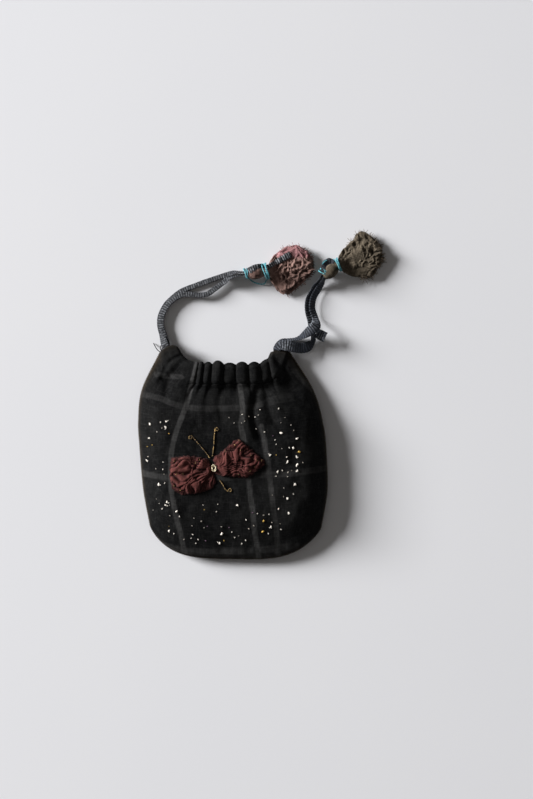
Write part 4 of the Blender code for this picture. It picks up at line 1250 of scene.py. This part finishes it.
def laid_thread(name, route, curl, radius, node_name):
    """A plied thread on the cloth through picture places, with a curl at its end."""
    line = smooth_line([on_table(*stop) for stop in route], 10)
    ahead = unit(line[-1] - line[-2])
    side = np.array([-ahead[1], ahead[0]]) * curl
    hub = line[-1] + side * CURL_RADIUS
    loop = []
    for angle in np.radians(np.arange(20, 400, 20)):
        size = CURL_RADIUS * (1 - angle / 14)
        loop.append(hub - side * size * math.cos(angle) + ahead * size * math.sin(angle))
    line = np.vstack([line, loop])
    points = [(x, y, cloth_height(x, y) + radius * 1.2) for x, y in line]
    piece = threads_piece(name, plied_lines(points, radius, 1.5 * MM), radius * 0.62, 6)
    return place_piece(piece, gold, node_name, slot="gold_thread")


for name, route, curl, node_name in (
    ("feeler_left_thread", [(210.4, 457.6), (203, 448), (197, 441), (192.5, 436)], 1, "feeler_left"),
    ("feeler_right_thread", [(213, 456), (214, 446), (214.6, 437), (215.4, 429)], -1, "feeler_right"),
    ("tail_plied_thread", [(219.5, 479), (223, 484), (226, 489), (229, 491)], 1, "tail_thread"),
):
    laid_thread(name, route, curl, THREAD_RADIUS, node_name)

chance = random.Random(5)
knot_top = cloth_height(*BUTTERFLY) + 0.4 * MM
winding = []
for number in range(5):
    tilt = chance.uniform(1.1, 2.0)
    size = 1.9 * MM * chance.uniform(0.75, 1.05)
    for angle in np.linspace(0, 2 * math.pi, 22):
        x = size * math.cos(angle)
        y = size * 0.55 * math.sin(angle)
        turned = (x * math.cos(tilt) - y * math.sin(tilt), x * math.sin(tilt) + y * math.cos(tilt))
        z = knot_top + 1.1 * MM + 0.75 * MM * math.sin(angle + number)
        winding.append((BUTTERFLY[0] + turned[0], BUTTERFLY[1] + turned[1], z))
knot = threads_piece("centre_knot_thread", plied_lines(winding, 0.34 * MM, 1.3 * MM), 0.24 * MM, 6)
pale_gold = spun_thread(
    "pale_gold_thread",
    (0.10, 0.06, 0.02),
    (0.80, 0.72, 0.52),
    roughness=0.5,
    metallic=0.1,
    edges=(0.42, 0.56),
)
place_piece(knot, pale_gold, "centre_knot", slot="gold_thread")

# %% [markdown]
# ## Seed stitches
#
# A seed stitch is one tiny stitch of thick thread, so it looks like a grain of rice. There are more
# than a hundred, so one plain grain with few faces is made, and copies are laid along a seeded
# rule: loose bands at the left, along the bottom and at the right, never on the butterfly. Most
# are cream, a few are gold or violet. Some lie in clumps of three, which are larger and cleaner.
# The sphere is shaped in edit mode and then centred, so that each copy turns about its own middle.

# %% Scatter the seed stitches
GRAIN_REACH = (0.66 * MM, 0.36 * MM, 0.34 * MM)
bpy.ops.object.select_all(action="DESELECT")
bpy.ops.mesh.primitive_uv_sphere_add(segments=7, ring_count=5, radius=1.0, location=(0, 0, 0))
bpy.ops.object.mode_set(mode="EDIT")
bpy.ops.transform.resize(value=GRAIN_REACH, center_override=(0, 0, 0))
bpy.ops.object.mode_set(mode="OBJECT")
grain = bpy.context.object
GRAIN = np.array([vert.co[:] for vert in grain.data.vertices])
GRAIN = GRAIN - GRAIN.mean(axis=0)
print("one grain's size in mm:", np.round(np.ptp(GRAIN, axis=0) / MM, 2))
GRAIN_FACES = [list(face.vertices) for face in grain.data.polygons]
bpy.data.objects.remove(grain)


def inside_wings(px, py):
    return 166 < px < 270 and 434 < py < 497


# A band has a count, a middle and a spread in the picture, and the share of the spread it fills.
ROOM_PX = 3.4
BANDS = [
    (16, (160, 448), (15, 36), (0.2, 1.0)),
    (9, (158, 494), (15, 18), (0.0, 1.0)),
    (46, (222, 524), (62, 21), (0.0, 1.0)),
    (34, (285, 468), (18, 48), (0.0, 1.0)),
    (6, (240, 418), (12, 6), (0.3, 1.0)),
    (7, (270, 420), (18, 16), (0.4, 1.0)),
]
chance = random.Random(11)
spots = []
for count, middle, spread, ring in BANDS:
    laid = 0
    while laid < count:
        angle = chance.uniform(0, 2 * math.pi)
        reach = math.sqrt(chance.uniform(ring[0], ring[1]))
        px = middle[0] + spread[0] * reach * math.cos(angle)
        py = middle[1] + spread[1] * reach * math.sin(angle)
        crowded = any(math.hypot(px - qx, py - qy) < ROOM_PX for qx, qy in spots)
        if not inside_wings(px, py) and not crowded:
            spots.append((px, py))
            laid += 1

piles = {"cream": [], "gold": [], "violet": []}
for px, py in spots:
    pick = chance.random()
    colour = "cream" if pick < 0.84 else ("gold" if pick < 0.93 else "violet")
    big = chance.random() < 0.20
    size = chance.uniform(1.1, 1.5) if big else chance.uniform(0.5, 0.95)
    for twin in range(3 if big else 1):
        x, y = on_table(px + twin * chance.uniform(-0.9, 0.9), py + twin * chance.uniform(-0.7, 0.9))
        shade = chance.uniform(0.75, 1.0) if big else chance.uniform(0.15, 0.9)
        piles[colour].append((x, y, chance.uniform(0, math.pi), size * 0.75**twin, shade))


def grains_piece(name, pile):
    """One piece of many grains, each with a place, a turn, a size and a shade."""
    points = []
    faces = []
    shades = []
    for x, y, turn, size, shade in pile:
        shaped = GRAIN * size
        shades.extend([shade] * len(GRAIN))
        c, s = math.cos(turn), math.sin(turn)
        shaped = np.stack(
            [shaped[:, 0] * c - shaped[:, 1] * s, shaped[:, 0] * s + shaped[:, 1] * c, shaped[:, 2]],
            axis=1,
        )
        start = len(points)
        points.extend((shaped + (x, y, cloth_height(x, y) + 0.14 * MM)).tolist())
        faces.extend([[start + i for i in face] for face in GRAIN_FACES])
    mesh = bpy.data.meshes.new(name)
    mesh.from_pydata(points, [], faces)
    add_mark(mesh, "shade", shades)
    return stand_mesh(mesh)


def seed_thread(name, soiled, clean):
    made, tree, shader = start_material(name, roughness=0.6)
    shader.inputs["Specular IOR Level"].default_value = 0.25
    shade = add_node(tree, "ShaderNodeAttribute", attribute_name="shade").outputs["Fac"]
    tree.links.new(mix_colours(tree, shade, soiled, clean), shader.inputs["Base Color"])
    place = add_node(tree, "ShaderNodeTexCoord").outputs["Object"]
    add_relief(tree, shader, surface_noise(tree, place, 4000.0, 1.0), 0.00005)
    return made


seed_finish = {
    "cream": seed_thread("cream_seed_thread", (0.10, 0.080, 0.055), (0.95, 0.89, 0.80)),
    "gold": seed_thread("gold_seed_thread", (0.08, 0.045, 0.008), (0.60, 0.38, 0.08)),
    "violet": seed_thread("violet_seed_thread", (0.05, 0.025, 0.045), (0.34, 0.20, 0.30)),
}
for colour, pile in piles.items():
    piece = grains_piece(f"{colour}_seed_stitches", pile)
    place_piece(piece, seed_finish[colour], slot="seed_stitch")
print("seed stitches:", sum(len(pile) for pile in piles.values()))

# %% [markdown]
# ## Gold tacks on the wings
#
# The wings are caught down with short gold stitches at their corners, which glint among the folds.

# %% The tacking stitches
depsgraph = bpy.context.evaluated_depsgraph_get()
wing_trees = [BVHTree.FromObject(wing, depsgraph) for wing in (wing_left, wing_right)]


def top_height(x, y):
    heights = [cloth_height(x, y)]
    for tree_of_wing in wing_trees:
        hit = tree_of_wing.ray_cast(Vector((x, y, 0.1)), Vector((0, 0, -1)))[0]
        if hit:
            heights.append(hit.z)
    return max(heights)


TACK_PLACES = [(174, 460), (176, 464), (180, 466), (177, 474), (184, 474), (176, 486), (182, 489)]
TACK_PLACES += [(200, 459), (236, 444), (240, 441), (240, 450), (252, 454), (257, 459), (259, 463)]
TACK_PLACES += [(254, 466), (261, 461), (250, 471), (240, 474), (225, 452), (196, 462)]
TACK_REACH = 0.6 * MM
TACK_THREAD = 0.15 * MM
tack_lines = []
for px, py in TACK_PLACES:
    x, y = on_table(px + chance.uniform(-1, 1), py + chance.uniform(-1, 1))
    turn = chance.uniform(0, math.pi)
    tack_line = []
    for share, lift in ((-1, 0.0), (0, 0.2 * MM), (1, 0.0)):
        tack_x = x + share * TACK_REACH * math.cos(turn)
        tack_y = y + share * TACK_REACH * math.sin(turn)
        tack_line.append((tack_x, tack_y, top_height(tack_x, tack_y) + lift))
    tack_lines.append(np.array(tack_line))
tacks = threads_piece("wing_tacking_stitches", tack_lines, TACK_THREAD, 5)
place_piece(tacks, gold, slot="gold_thread")

# %% [markdown]
# ## The tassels
#
# Each tassel is a square of scrap cloth gathered over the ribbons' ends. The bulb is bound at its
# waist, and the rest flares into a skirt of deep folds with a raw, fraying edge. The sheet below
# is a tube along a bent axis. Rows give its reach to each side of that axis, and its skirt is
# pressed flat. Noise that is folded at zero turns its surface into crumples, and the end is left
# open, with a second, narrower layer inside it.

# %% A tassel's cloth
TASSEL_HEIGHT = 5.1 * MM
SKIRT_LEVEL = 2.3 * MM
SKIRT_REACH = 2.1 * MM
TUBE_ROWS = 110
SPOKES = 150
AROUND = 13 * MM
# Without a seed, noise_vector would bend the crumples in a new way on each run.
noise.seed_set(4)


def tassel_axis(start, waist, end, distance):
    """The places and directions along an axis that bends at its waist."""
    start, waist, end = (np.array(p, float) for p in (start, waist, end))
    back = unit(start - waist)
    ahead = unit(end - waist)
    way = np.where(distance[:, None] < 0, -back, ahead)
    return waist + way * distance[:, None], way


def between_rows(rows, distance):
    rows = np.array(rows, float)
    return [np.interp(distance, rows[:, 0] * MM, rows[:, c] * MM) for c in (1, 2)]


def crumples(distance, widths, angles, seed):
    """Noise that is folded at zero, which gives sharp creases, for each place round the tube."""
    field = np.empty((len(distance), len(angles)))
    for row, along in enumerate(distance):
        wide = widths[row] / AROUND
        for column, turn in enumerate(angles):
            at = Vector((math.cos(turn) * wide * 0.8, math.sin(turn) * 1.2, along / (7 * MM) + seed))
            at = at + 0.35 * noise.noise_vector(at * 1.4)
            folds = abs(noise.noise(at * 1.5)) + 0.45 * abs(noise.noise(at * 3.4))
            field[row, column] = 1.1 - 1.9 * folds
    return field


def near_spot(px, py, spot, power):
    """How near each place is to a spot: 1 in its middle, and falling off at its radius."""
    spot_x, spot_y, radius = spot
    return np.exp(-((np.hypot(px - spot_x, py - spot_y) / radius) ** power))


def tassel_cloth(name, places, rows, pleats, seed, calm=(), hollows=(), inner=1.0):
    """A gathered tube of cloth along its axis, crumpled and open at its end.

    Each row is a distance from the waist and the cloth's reach to the left and right of the axis.
    A calm spot has fewer crumples, and a hollow is pressed in and painted with shade: a place in the
    picture and a radius in picture elements each.
    """
    distance = np.linspace(rows[0][0], rows[-1][0], TUBE_ROWS) * MM
    distance = distance[distance > (1.0 * MM if inner < 1 else -1.0)]
    left, right = between_rows(rows, distance)
    middle, ahead = tassel_axis(*places, distance)
    level = np.stack([-ahead[:, 1], ahead[:, 0]], axis=1)
    angle = 2 * np.pi * np.arange(SPOKES) / SPOKES
    opened = ease(distance / (7 * MM))[:, None]
    reach = np.where(np.cos(angle) > 0, left[:, None], right[:, None]) * inner
    mean_reach = (left + right)[:, None] / 2 * inner
    deep = np.where(distance[:, None] < 1.2 * MM, mean_reach, np.minimum(mean_reach, SKIRT_REACH))
    phase = seed + 1.4 * distance[:, None] / (20 * MM)
    pleat = np.sin(pleats * angle + phase + 0.8 * np.sin(2 * angle + seed))
    crumple = crumples(distance, left + right, angle, seed)
    side = reach * np.cos(angle) * (1 + opened * (0.05 * pleat + 0.10 * (crumple - 0.5)))
    torn = np.array([noise.noise(Vector((math.cos(a) * 5, math.sin(a) * 5, seed))) for a in angle])
    ended = ease((distance - distance[-1] + 6 * MM) / (6 * MM))[:, None]
    stretch = ended * 3.4 * MM * torn
    grid = np.zeros((len(distance), SPOKES, 3))
    grid[..., :2] = middle[:, None] + level[:, None] * side[..., None] + ahead[:, None] * stretch[..., None]
    px, py = in_picture(grid[..., 0], grid[..., 1])
    for spot in calm:
        crumple = blend(crumple, 0.56 + 0.15 * crumple, near_spot(px, py, spot, 4))
    hollow = np.zeros(px.shape)
    for spot in hollows:
        hollow = np.maximum(hollow, near_spot(px, py, spot, 2))
    top = np.maximum(np.sin(angle), 0)
    rise = deep * np.sign(np.sin(angle)) * np.abs(np.sin(angle)) ** 0.8
    rise = rise + opened * top * (1.5 * MM * (crumple - 0.5) + 0.30 * MM * pleat - 2.0 * MM * hollow)
    sunk = blend(TASSEL_HEIGHT, SKIRT_LEVEL, opened)
    grid[..., 2] = np.maximum(sunk + rise, 0.3 * MM + 0.25 * MM * crumple)
    walked = distance[:, None] + 0 * angle
    around = np.broadcast_to(angle * AROUND, walked.shape)
    # The fold mark paints shade into the creases and hollows, and a highlight on the crumples' crests.
    fold = np.clip(0.55 + 1.0 * (crumple - 0.5) + 0.10 * pleat, 0, 1) * (1 - hollow)
    piece = sheet_piece(name, grid, np.stack([around, walked], axis=-1), {"fold": fold}, closed=True)
    finish_with(piece, "SOLIDIFY", thickness=0.35 * MM, offset=-1.0)
    return piece, grid


PINK = ((8.9 * MM, 109.1 * MM), (20.1 * MM, 110.4 * MM), (46.0 * MM, 112.2 * MM))
OLIVE = ((54.9 * MM, 106.8 * MM), (63.0 * MM, 114.0 * MM), (86.1 * MM, 121.2 * MM))
PINK_ROWS = [(-11.2, 1.2, 1.4), (-9.8, 3.2, 3.4), (-7.0, 3.9, 4.2), (-4.2, 3.5, 4.0)]
PINK_ROWS += [(-1.2, 2.4, 2.6), (1.2, 2.4, 2.6), (3, 6.4, 7.6), (6, 9.8, 11.6), (9.6, 12.2, 14.2)]
PINK_ROWS += [(12, 13.2, 14.2), (15.6, 13.9, 12.0), (19.2, 14.2, 9.4), (22.8, 12.8, 7.0)]
PINK_ROWS += [(25.2, 10.4, 4.8), (27.4, 5.6, 2.0)]
OLIVE_ROWS = [(-10.8, 1.6, 1.6), (-8.8, 3.4, 3.2), (-6.0, 4.2, 4.0), (-3.6, 3.8, 3.8)]
OLIVE_ROWS += [(-1.2, 2.6, 2.8), (1.2, 2.8, 3.2), (2.4, 5.2, 5.6), (6, 8.2, 8.8), (12, 11.2, 11.6)]
OLIVE_ROWS += [(14.4, 12.2, 12.9), (16.6, 15.2, 12.9), (20, 14.8, 11.4), (22, 13.4, 9.6)]
OLIVE_ROWS += [(24.6, 9.0, 7.0), (26.6, 2.6, 4.0)]
pink_cloth, pink_grid = tassel_cloth(
    "pink_tassel_gathered_cloth",
    PINK,
    PINK_ROWS,
    pleats=7,
    seed=2.0,
    calm=[(292, 252, 8), (280, 284, 7)],
    hollows=[(305, 274, 5), (299, 279, 4), (289, 274, 2), (281, 270, 1.6)],
)
pink_lining, _ = tassel_cloth("pink_tassel_inner_fold", PINK, PINK_ROWS, pleats=5, seed=6.4, inner=0.78)
olive_cloth, olive_grid = tassel_cloth(
    "olive_tassel_gathered_cloth",
    OLIVE,
    OLIVE_ROWS,
    pleats=6,
    seed=4.7,
    calm=[(357, 263, 15)],
    hollows=[(349, 248.5, 3), (344, 250.5, 2), (363, 241.5, 2.6), (372, 252.5, 3), (355, 244, 1.8)],
)
olive_lining, _ = tassel_cloth("olive_tassel_inner_fold", OLIVE, OLIVE_ROWS, pleats=5, seed=9.1, inner=0.78)

# %% [markdown]
# Both are the wings' crêpe in other colours, with its painted shade in the folds and painted
# highlight on the crests. The rose cloth has faded unevenly: it is brownish, darker in the folds
# by painted shade, and pinker at its upper side, where a pink is multiplied over the colour that
# the recipe gave. The olive cloth is coarser, so it has about half as many threads to a metre.

# %% The tassels' cloths
rose = crepe(
    "rose_scrap_cloth", (0.014, 0.007, 0.006), (0.150, 0.086, 0.071), (0.330, 0.210, 0.178), 1900.0, 0.45
)
olive = crepe(
    "olive_scrap_cloth", (0.008, 0.006, 0.005), (0.062, 0.050, 0.034), (0.164, 0.133, 0.096), 1050.0, 0.6
)
tree = rose.node_tree
shader = tree.nodes["Principled BSDF"]
brown = shader.inputs["Base Color"].links[0].from_socket
place = add_node(tree, "ShaderNodeTexCoord").outputs["Object"]
upward = add_node(tree, "ShaderNodeSeparateXYZ", {0: place}).outputs["Y"]
wander = calculate(tree, "MULTIPLY", surface_noise(tree, place, 220.0), 0.010)
upward = calculate(tree, "ADD", upward, wander)
pinker = add_node(tree, "ShaderNodeMapRange", {0: upward, 1: 0.1215, 2: 0.1255})
hue = add_node(tree, "ShaderNodeMix", data_type="RGBA", blend_type="MULTIPLY")
tree.links.new(pinker.outputs[0], hue.inputs["Factor"])
tree.links.new(brown, hue.inputs[6])
hue.inputs[7].default_value = (1.40, 1.10, 1.35, 1)
tree.links.new(hue.outputs[2], shader.inputs["Base Color"])
place_piece(pink_cloth, rose, "pink_tassel_cloth", slot="rose_cloth")
place_piece(olive_cloth, olive, "olive_tassel_cloth", slot="olive_cloth")
place_piece(pink_lining, rose, slot="rose_cloth")
place_piece(olive_lining, olive, slot="olive_cloth")

# %% [markdown]
# ## Frayed threads
#
# A torn edge sheds threads. Short, thin threads start near the rim of each skirt, and a third of
# them along its sides. They point away from the skirt's middle and bend a little to the table.

# %% Fray the skirts' edges
FRAYED_THREAD = 0.11 * MM
FRAY_HUB = (13 * MM, 4.2 * MM)


def frayed(name, grid, places, count, seed, reach):
    """One piece of short threads that start on the points of a tassel's cloth."""
    chance = random.Random(seed)
    end = unit(np.array(places[2]) - np.array(places[1]))
    hub = np.array([*(np.array(places[1]) + end * FRAY_HUB[0]), FRAY_HUB[1]])
    rows, spokes = grid.shape[:2]
    lines = []
    for number in range(count):
        if number % 3:
            start = grid[rows - 1 - int(abs(chance.gauss(0, 5))), chance.randrange(spokes)]
        else:
            column = int(chance.choice((0, spokes // 2)) + chance.gauss(0, spokes / 16)) % spokes
            start = grid[chance.randrange(rows * 55 // 100, rows), column]
        out = start - hub
        out[2] *= 0.3
        out = unit(out) + [chance.uniform(-0.5, 0.5), chance.uniform(-0.5, 0.5), chance.uniform(-0.3, 0.5)]
        bend = np.array([chance.uniform(-1, 1), chance.uniform(-1, 1), -0.3]) * reach * 0.6
        length = reach * chance.uniform(0.25, 1.0)
        steps = np.linspace(0, 1, 6)[:, None]
        line = start + out * length * (steps - 0.12) + bend * steps**2
        line[:, 2] = np.maximum(line[:, 2], 0.15 * MM)
        lines.append(line)
    return threads_piece(name, lines, FRAYED_THREAD, 4)


rose_thread = spun_thread("rose_frayed_thread", (0.10, 0.055, 0.045), (0.34, 0.22, 0.19), 0.8)
olive_thread = spun_thread("olive_frayed_thread", (0.045, 0.034, 0.022), (0.22, 0.165, 0.115), 0.8)
pink_fray = frayed("pink_tassel_frayed_threads", pink_grid, PINK, 260, 3, 2.0 * MM)
olive_fray = frayed("olive_tassel_frayed_threads", olive_grid, OLIVE, 420, 8, 2.1 * MM)
place_piece(pink_fray, rose_thread, slot="rose_cloth")
place_piece(olive_fray, olive_thread, slot="olive_cloth")

# %% [markdown]
# ## The ribbons' ends on the tassels
#
# At the pink tassel the ribbon's end is laid over the bulb, goes under the binding and ends on the
# cloth. At the olive one a short loop of it shows on top of the bulb. Both lie on the cloth, so
# their height is read from it, as the stitches' was.

# %% Lay the ribbon ends over the cloth
def laid_ribbon(name, tree_below, route, widths, finish, node_name, notch=0.0):
    """A ribbed ribbon over a cloth, bridging its hollows. The widths are shares of the full one."""
    line = smooth_line([on_table(*stop) for stop in route], 12)
    width = np.interp(np.linspace(0, 1, len(line)), np.linspace(0, 1, len(widths)), widths)
    stops = []
    heights = []
    for x, y in line:
        hit = tree_below.ray_cast(Vector((x, y, 0.1)), Vector((0, 0, -1)))[0]
        heights.append(hit.z if hit else TASSEL_HEIGHT)
    heights = np.array(heights)
    for _ in range(6):
        calm = heights.copy()
        calm[1:-1] = (heights[:-2] + heights[1:-1] * 2 + heights[2:]) / 4
        heights = np.maximum(heights, calm)
    for (x, y), z, w in zip(line, heights, width):
        stops.append((x / MM, y / MM, z / MM + 0.35, 90, w))
    piece, _, _ = ribbed_ribbon(name, stops[::4], notch)
    return place_piece(piece, finish, node_name, slot="navy_ribbon")


depsgraph = bpy.context.evaluated_depsgraph_get()
pink_tree = BVHTree.FromObject(pink_cloth, depsgraph)
olive_tree = BVHTree.FromObject(olive_cloth, depsgraph)
PINK_END_ROUTE = [(245.5, 272.5), (250, 270.5), (256, 268), (262, 267), (266, 267.5)]
PINK_END_ROUTE += [(272, 264.5), (280, 260), (287, 256), (291, 254)]
speckled_navy = petersham("speckled_navy_petersham", (0.0050, 0.0056, 0.0080), (0.27, 0.28, 0.30))
loop_navy = petersham("loop_navy_petersham", (0.0016, 0.0020, 0.0036), (0.030, 0.034, 0.045))
pink_end = laid_ribbon(
    "pink_tassel_ribbon_tail",
    pink_tree,
    PINK_END_ROUTE,
    [0.6, 0.62, 0.68, 0.62, 0.4, 0.45, 0.55, 0.6, 0.6],
    speckled_navy,
    "pink_tassel_ribbon_end",
    1.5 * MM,
)
olive_loop = laid_ribbon(
    "olive_tassel_ribbon_over_bulb",
    olive_tree,
    [(324.2, 272.5), (325, 268.5), (327, 264.8), (330, 263), (333.5, 263.5)],
    [0.6, 0.8, 1.0, 1.0, 0.6],
    loop_navy,
    "olive_tassel_ribbon_loop",
)

# %% [markdown]
# ## The turquoise bindings
#
# A doubled turquoise thread is wound round each neck and each waist, crossing itself a little. Each
# turn is a ring round the axis that drifts as it goes, and the plies are twisted round that path.
# One more length of it runs below the rose tassel's bulb, and one beside the olive tassel's loop.
# The centres and sizes are in millimetres.

# %% Wind the bindings
STEPS_A_TURN = 36
FREE_THREAD = 0.36 * MM
turquoise = spun_thread("turquoise_binding_thread", (0.012, 0.085, 0.115), (0.17, 0.50, 0.56), 0.5)


def binding(name, node_name, centre, ahead, wide, tall, turns, drift, slant, seed, thread):
    """Turns of plied thread round an axis. slant is how far the left side lies behind the right."""
    centre = np.array(centre) * MM
    ahead = unit(np.array([*ahead, 0.0]))
    level = np.array([-ahead[1], ahead[0], 0.0])
    line = []
    for step in range(turns * STEPS_A_TURN + 1):
        angle = 2 * math.pi * step / STEPS_A_TURN
        share = step / (turns * STEPS_A_TURN) - 0.5
        wobble = math.sin(1.37 * angle + seed)
        out = level * wide * MM * math.cos(angle) * (1 + wobble * 0.05)
        out = out + np.array([0, 0, tall * MM * math.sin(angle) * (1 + wobble * 0.03)])
        forth = drift * math.sin(2 * math.pi * share * 1.3) / 2 + 0.35 * wobble - slant * math.cos(angle)
        line.append(centre + out + ahead * MM * forth)
    line = np.array(line)
    line[:, 2] = np.maximum(line[:, 2], thread)
    piece = threads_piece(name, plied_lines(line, thread, 1.9 * MM), thread * 0.62, 6)
    return place_piece(piece, turquoise, node_name, slot="turquoise_thread")


pink_band = binding(
    "pink_tassel_waist_binding",
    "pink_tassel_band",
    centre=(20.0, 110.3, 4.9),
    ahead=(1.0, 0.1),
    wide=4.6,
    tall=4.2,
    turns=4,
    drift=2.0,
    slant=1.0,
    seed=1.0,
    thread=0.40 * MM,
)
pink_neck = binding(
    "pink_tassel_neck_binding",
    "pink_tassel_neck_tie",
    centre=(8.2, 109.0, 4.7),
    ahead=(1.0, 0.03),
    wide=2.9,
    tall=3.2,
    turns=3,
    drift=1.6,
    slant=0.5,
    seed=2.0,
    thread=0.34 * MM,
)
olive_band = binding(
    "olive_tassel_waist_binding",
    "olive_tassel_band",
    centre=(63.4, 114.2, 4.9),
    ahead=(0.85, 0.35),
    wide=4.0,
    tall=3.9,
    turns=3,
    drift=2.0,
    slant=0.3,
    seed=4.0,
    thread=0.33 * MM,
)
olive_neck = binding(
    "olive_tassel_neck_binding",
    "olive_tassel_neck_tie",
    centre=(55.2, 109.4, 4.6),
    ahead=(0.62, 0.78),
    wide=3.3,
    tall=3.5,
    turns=3,
    drift=1.8,
    slant=0.4,
    seed=7.0,
    thread=0.34 * MM,
)
BULB_ROUTE = [(247.2, 274.5, 2.6), (249.5, 278.5, 1.4), (254, 281.8, 1.2), (260, 283.6, 1.2)]
BULB_ROUTE += [(264.5, 283.2, 1.6), (266.5, 279.5, 3.0)]
LOOP_ROUTE = [(324.8, 273, 5.6), (322.6, 269, 6.2), (322.4, 264.5, 6.4), (324.6, 261.6, 6.2)]
LOOP_ROUTE += [(327.2, 260.2, 5.6)]


def raised(route):
    """Picture places with a height in millimetres each, as points in metres."""
    return np.array([(*on_table(px, py), z * MM) for px, py, z in route])


for name, route in (("pink_tassel_bulb_thread", BULB_ROUTE), ("olive_tassel_loop_thread", LOOP_ROUTE)):
    plies = plied_lines(smooth_line(raised(route), 10), FREE_THREAD, 1.7 * MM)
    piece = threads_piece(name, plies, 0.23 * MM, 6)
    place_piece(piece, turquoise, slot="turquoise_thread")

# %% [markdown]
# ## Loose threads
#
# Three ends of sewing thread stick out at the left shoulder, where the casing was finished off.
# They are thin and stiff with age. One droops to the table, and the other two stand clear of it.

# %% The loose ends at the left shoulder
loose = []
for route in (
    [(161, 352, 4.5), (158, 350.5, 3.5), (155.5, 347.5, 2.0), (153, 343, 0.4)],
    [(162.5, 351.5, 5.0), (160.5, 349.5, 5.5), (160.5, 346.5, 4.5), (162, 343.5, 3.0)],
    [(163, 352.5, 5.0), (161.5, 350.5, 6.0), (163, 347.5, 6.5), (165.5, 345, 6.0)],
):
    loose.append(smooth_line(raised(route), 6))
LOOSE_THREAD = 0.26 * MM
loose_ends = threads_piece("shoulder_loose_threads", loose, LOOSE_THREAD, 6)
place_piece(loose_ends, black_thread, slot="checked_cloth")

# %% [markdown]
# ## Inside the casing
#
# The drawstrings go on through the casing, where only glimpses of them show at the shoulders. They
# stay as the CAD model has them and get the ribbon's finish without its marks.

# %% The drawstrings inside the casing
held_navy, tree, shader = start_material("held_navy_petersham", roughness=0.55)
shader.inputs["Specular IOR Level"].default_value = 0.12
place = add_node(tree, "ShaderNodeTexCoord").outputs["Object"]
bars = add_node(tree, "ShaderNodeTexWave", {"Vector": place, "Scale": 380.0, "Distortion": 0.6})
tree.links.new(
    mix_colours(tree, bars.outputs["Fac"], (0.003, 0.004, 0.006), (0.030, 0.035, 0.046)),
    shader.inputs["Base Color"],
)
add_relief(tree, shader, bars.outputs["Fac"], 0.0001)
for name in ("left_drawstring_in_casing", "right_drawstring_in_casing"):
    for slot_of_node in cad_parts[name].material_slots:
        slot_of_node.material = held_navy
print("two drawstrings carried over")

left_going = [pink_neck, pink_band, pink_end]
right_going = [olive_neck, olive_band, olive_loop]
for name, going in (
    ("left_strand_outer", left_going),
    ("left_strand_inner", [pink_neck]),
    ("right_strand_lower", [olive_neck]),
    ("right_strand_upper", [*right_going, ribbons["right_ribbon_cut_end"][0]]),
):
    piece, line, length = ribbons[name]


def half_area(piece):
    return sum(face.area for face in piece.data.polygons) / 2


for piece, flat, rests in (
    (front, (0.128, 0.140), ["back_panel_cloth"]),
    (back, (0.120, 0.130), []),
    (wing_left, (0.034, 0.028), ["front_panel_cloth"]),
    (wing_right, (0.036, 0.024), ["front_panel_cloth"]),
    (pink_cloth, (0.060, 0.038), []),
    (pink_lining, (0.036, 0.026), []),
    (olive_cloth, (0.056, 0.036), []),
    (olive_lining, (0.036, 0.024), []),
):
    print(f"{piece.name}: {half_area(piece) / (flat[0] * flat[1]):.2f} times its flat area")
    going = [seam] if piece == front else []
